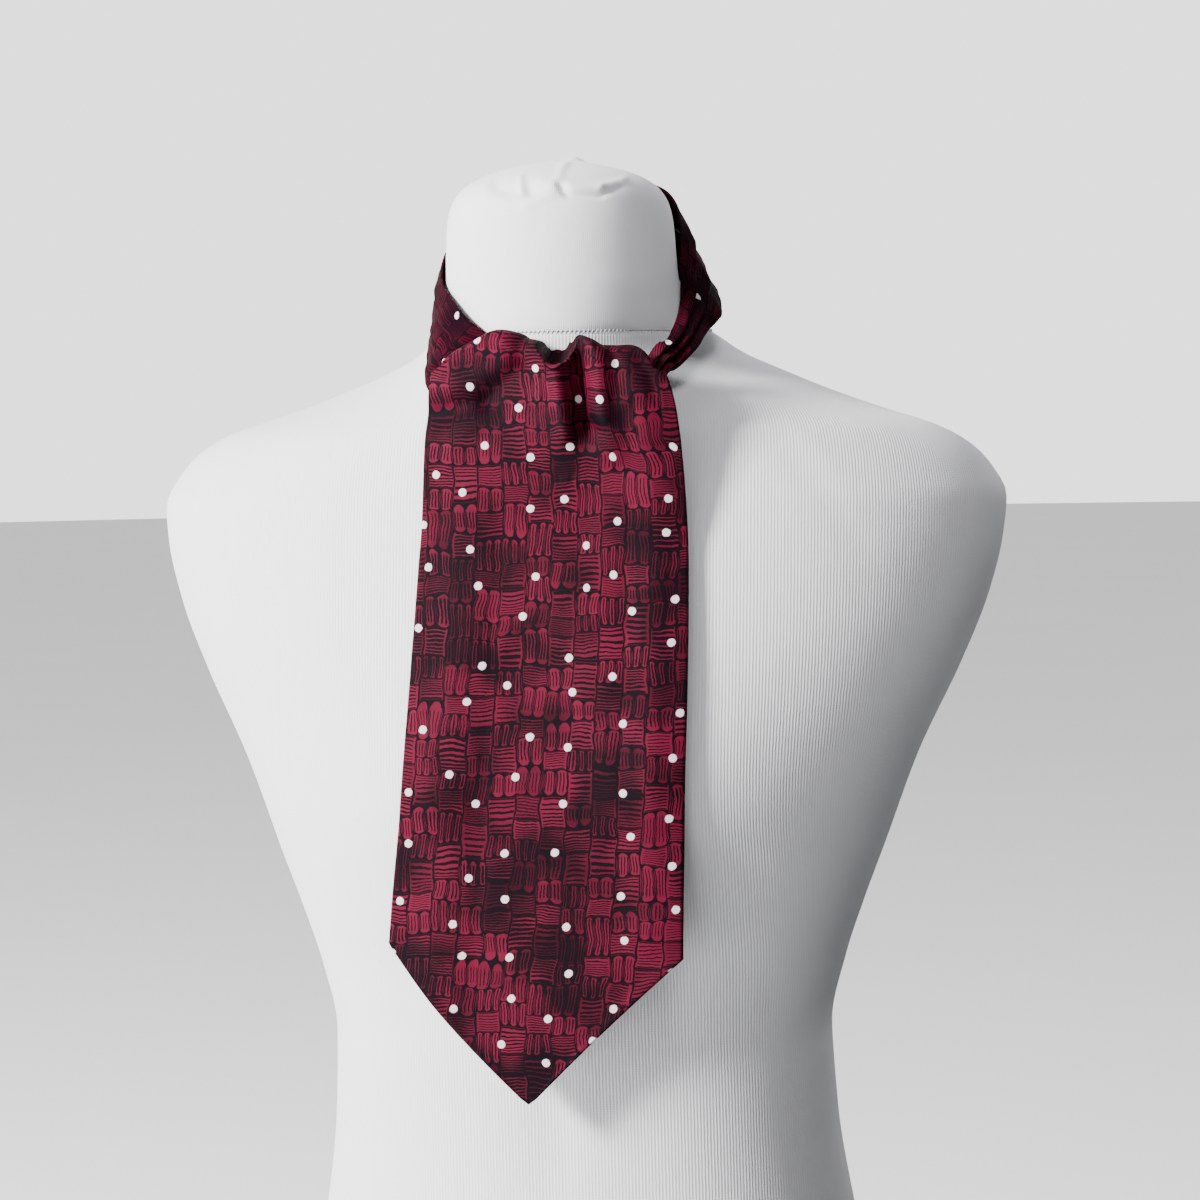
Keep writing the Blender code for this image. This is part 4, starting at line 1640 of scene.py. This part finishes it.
            grid.append(np.stack([x + fold_rise(self.rolls, x, z), -self.front_depth(x, z), z], -1))
        corners = self.corner_height + slant
        for t in np.linspace(0, 1, 37)[1:]:
            x, z = self.point_row(share, t, corners, self.front_edges[-1], self.tip_height, self.tip_x)
            grid.append(np.stack([x, -self.front_depth(x, z), z], -1))
        points = np.array(grid)
        uv = cloth_lengths(points)
        plain = (points[..., 0] - points[:, self.columns // 2, 0][:, None]) * MM
        uv[..., 0] = plain + (uv[..., 0] - plain) * self.fold_share
        fallen = rear_rows + turn_rows - 1
        middle = points[fallen:, self.columns // 2]
        run = np.concatenate([[0], np.cumsum(np.linalg.norm(np.diff(middle, axis=0), axis=-1))]) * MM
        level = np.interp(-points[fallen, :, 2], -middle[:, 2], run)
        level -= np.maximum(points[fallen, :, 2] - middle[0, 2], 0) * MM
        uv[: fallen + 1, :, 1] += level - uv[fallen, :, 1]
        uv[fallen:, :, 1] = np.interp(-points[fallen:, :, 2], -middle[:, 2], run)
        uv[fallen:, :, 1] -= np.maximum(points[fallen:, :, 2] - middle[0, 2], 0) * MM
        return cloth_shell(name, points, self.walls(*points.shape[:2]), look, uv)


@dataclass
class Studio:
    """The camera, the lights and a plain pale floor, with a dark mat beside the view."""

    azimuth: float = math.radians(10.0)
    elevation: float = math.radians(3.5)
    roll: float = math.radians(1.0)
    distance: float = 2.0
    aim_aside: float = 0.0100
    aim_height: float = 0.472
    lens: float = 113.2
    floor_radius: float = 14.0
    mat_across: tuple[float, float] = (0.05, 2.6)
    mat_along: tuple[float, float] = (-2.2, 0.6)
    bright_side: tuple[float, float, float] = (-0.62, 0.68, 0.30)
    dim: float = 0.04
    pale: float = 2.3

    def place_camera(self) -> None:
        """Sets the camera at the photo's angle."""
        az, el = self.azimuth, self.elevation
        look = Vector((-math.sin(az) * math.cos(el), math.cos(az) * math.cos(el), -math.sin(el)))
        right = Vector((math.cos(az), math.sin(az), 0.0))
        up = right.cross(look)
        tilted = right * math.cos(self.roll) - up * math.sin(self.roll)
        upright = up * math.cos(self.roll) + right * math.sin(self.roll)
        aim = right * self.aim_aside + Vector((0.0, SHIFT_BACK * MM, self.aim_height))
        camera = bpy.data.objects.new("camera", bpy.data.cameras.new("camera"))
        camera.data.lens = self.lens
        turn = Matrix((tilted, upright, -look)).transposed()
        camera.matrix_world = Matrix.Translation(aim - look * self.distance) @ turn.to_4x4()
        bpy.context.scene.collection.objects.link(camera)
        bpy.context.scene.camera = camera

    def add_light(self, name: str, place: tuple[float, float, float], size: float, power: float) -> None:
        """Adds a soft square light that points at the form's chest.

        Args:
            name: the light's name.
            place: where it is.
            size: its side.
            power: its power in watts.
        """
        data = bpy.data.lights.new(name, "AREA")
        data.size, data.energy = size, power
        made = bpy.data.objects.new(name, data)
        made.location = place
        made.rotation_euler = (Vector((0.0, 0.0, 0.5)) - Vector(place)).to_track_quat("-Z", "Y").to_euler()
        bpy.context.scene.collection.objects.link(made)

    def add_mat(self) -> None:
        """Lays a dark mat on the floor outside the view, which keeps the form's far side in shade."""
        corners = [(x, y, 0.001) for y in self.mat_along for x in self.mat_across]
        mesh = bpy.data.meshes.new("mat")
        mesh.from_pydata(corners, [], [(0, 1, 3, 2)])
        kit = Kit("dark_mat")
        place = kit.node("ShaderNodeTexCoord", {}, {}).outputs["Object"]
        grain = kit.value(kit.noise(place, 30.0, 2.0).outputs["Fac"])
        colour = kit.mix(grain, (0.02, 0.02, 0.022, 1.0), (0.03, 0.03, 0.033, 1.0))
        mesh.materials.append(kit.finish(grain, 0.0001, {"Base Color": colour}, {"Roughness": 0.9}))
        mat = bpy.data.objects.new("mat", mesh)
        bpy.context.scene.collection.objects.link(mat)

    def build(self) -> None:
        """Adds the floor, the world and the lights."""
        turn = np.linspace(0, 2 * math.pi, 64, endpoint=False)
        ring = np.stack([np.cos(turn), np.sin(turn), 0 * turn], 1) * self.floor_radius
        mesh = bpy.data.meshes.new("floor")
        mesh.from_pydata(ring.tolist(), [], [tuple(range(len(ring)))])
        kit = Kit("pale_floor")
        place = kit.node("ShaderNodeTexCoord", {}, {}).outputs["Object"]
        grain = kit.value(kit.noise(place, 3.0, 2.0).outputs["Fac"])
        colour = kit.mix(grain, (0.88, 0.88, 0.88, 1.0), (0.92, 0.92, 0.92, 1.0))
        mesh.materials.append(kit.finish(grain, 0.0001, {"Base Color": colour}, {"Roughness": 0.9}))
        floor = bpy.data.objects.new("floor", mesh)
        bpy.context.scene.collection.objects.link(floor)
        world = bpy.data.worlds.new("studio")
        world.use_nodes = True
        nodes, link = world.node_tree.nodes, world.node_tree.links.new
        way, side, span = (nodes.new(k) for k in ("ShaderNodeTexCoord", "ShaderNodeVectorMath", "ShaderNodeMapRange"))
        side.operation = "DOT_PRODUCT"
        side.inputs[1].default_value = self.bright_side
        span.interpolation_type = "SMOOTHSTEP"
        for name, value in {"From Min": 0.15, "From Max": 0.7, "To Min": self.dim, "To Max": self.pale}.items():
            span.inputs[name].default_value = value
        link(way.outputs["Generated"], side.inputs[0])
        link(side.outputs["Value"], span.inputs["Value"])
        link(span.outputs["Result"], nodes["Background"].inputs["Strength"])
        nodes["Background"].inputs["Color"].default_value = (0.97, 0.975, 1.0, 1.0)
        bpy.context.scene.world = world
        self.add_light("key", (-1.85, -1.7, 1.5), 0.6, 250.0)
        self.add_light("top", (0.5, -1.3, 2.3), 0.6, 22.0)
        self.add_mat()
        self.place_camera()


def ride(piece: bpy.types.Object, slot: Slot, *nodes: str) -> None:
    """Puts a piece on the part's one body and hides the solids that it stands for.

    Args:
        piece: the piece.
        slot: its material slot, not used.
        nodes: the solids.
    """
    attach(piece, "root")
    if nodes:
        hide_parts(*nodes)
    LOG.info("%s: %d faces", piece.name, len(piece.data.polygons))


def main() -> None:
    """Loads the frame and builds all that stands in it."""
    logging.basicConfig(level=logging.INFO, format="%(name)s: %(message)s")
    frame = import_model()
    LOG.info("%d solids", len(frame["nodes"]))

    Studio().build()
    printed = CravatPrint().build()
    # A darker, less glossy copy of the print for the neckband stretches: painted shade, for the shade that the neckband
    # lies in.
    band_shade_print = CravatPrint(
        "crimson_printed_twill_band_shade", (0.052, 0.0015, 0.009, 1.0), (0.012, 0.0005, 0.003, 1.0), gloss=0.015
    )
    band_shade_look = band_shade_print.build()
    form = DressForm()
    ride(form.make_torso(Jersey().build()), Slot.JERSEY, "dress_form_torso")
    cap = Jersey(name="white_jersey_cap", wale=0.0011, course=0.0009, depth=0.00007, contrast=0.34)
    ride(form.make_neck(cap.build()), Slot.JERSEY, "dress_form_neck")
    ride(SeamStitches(form).make(Thread().build()), Slot.JERSEY)

    band = NeckBand(form)
    stretches = (
        ("band_left", -120.0, -16.0, "neckband_left", (0.12, 0.30), (0.054, 0.125)),
        ("band_right", 52.0, 120.0, "neckband_right", (0.37, 0.92), (0.045, 0.096)),
        ("band_back", 120.0, 240.0, "neckband_back", (0.55, 0.44), (0.056, 0.132)),
    )
    for name, start, end, node, uv_start, cut in stretches:
        piece = band.make_stretch(name, start, end, band_shade_look, uv_start)
        ride(piece, Slot.CRAVAT, node)
    wrap = band.make_wrap("throat_crossing", printed)
    ride(wrap, Slot.CRAVAT, "throat_wrap")

    blades = Blades(form)
    under = blades.make_under("under_blade_cloth", printed)
    ride(under, Slot.CRAVAT, "under_blade")
    front = blades.make_front("front_blade_cloth", printed)
    ride(front, Slot.CRAVAT, "front_blade")

    LOG.info("sizes written")


if __name__ == "__main__":
    main()
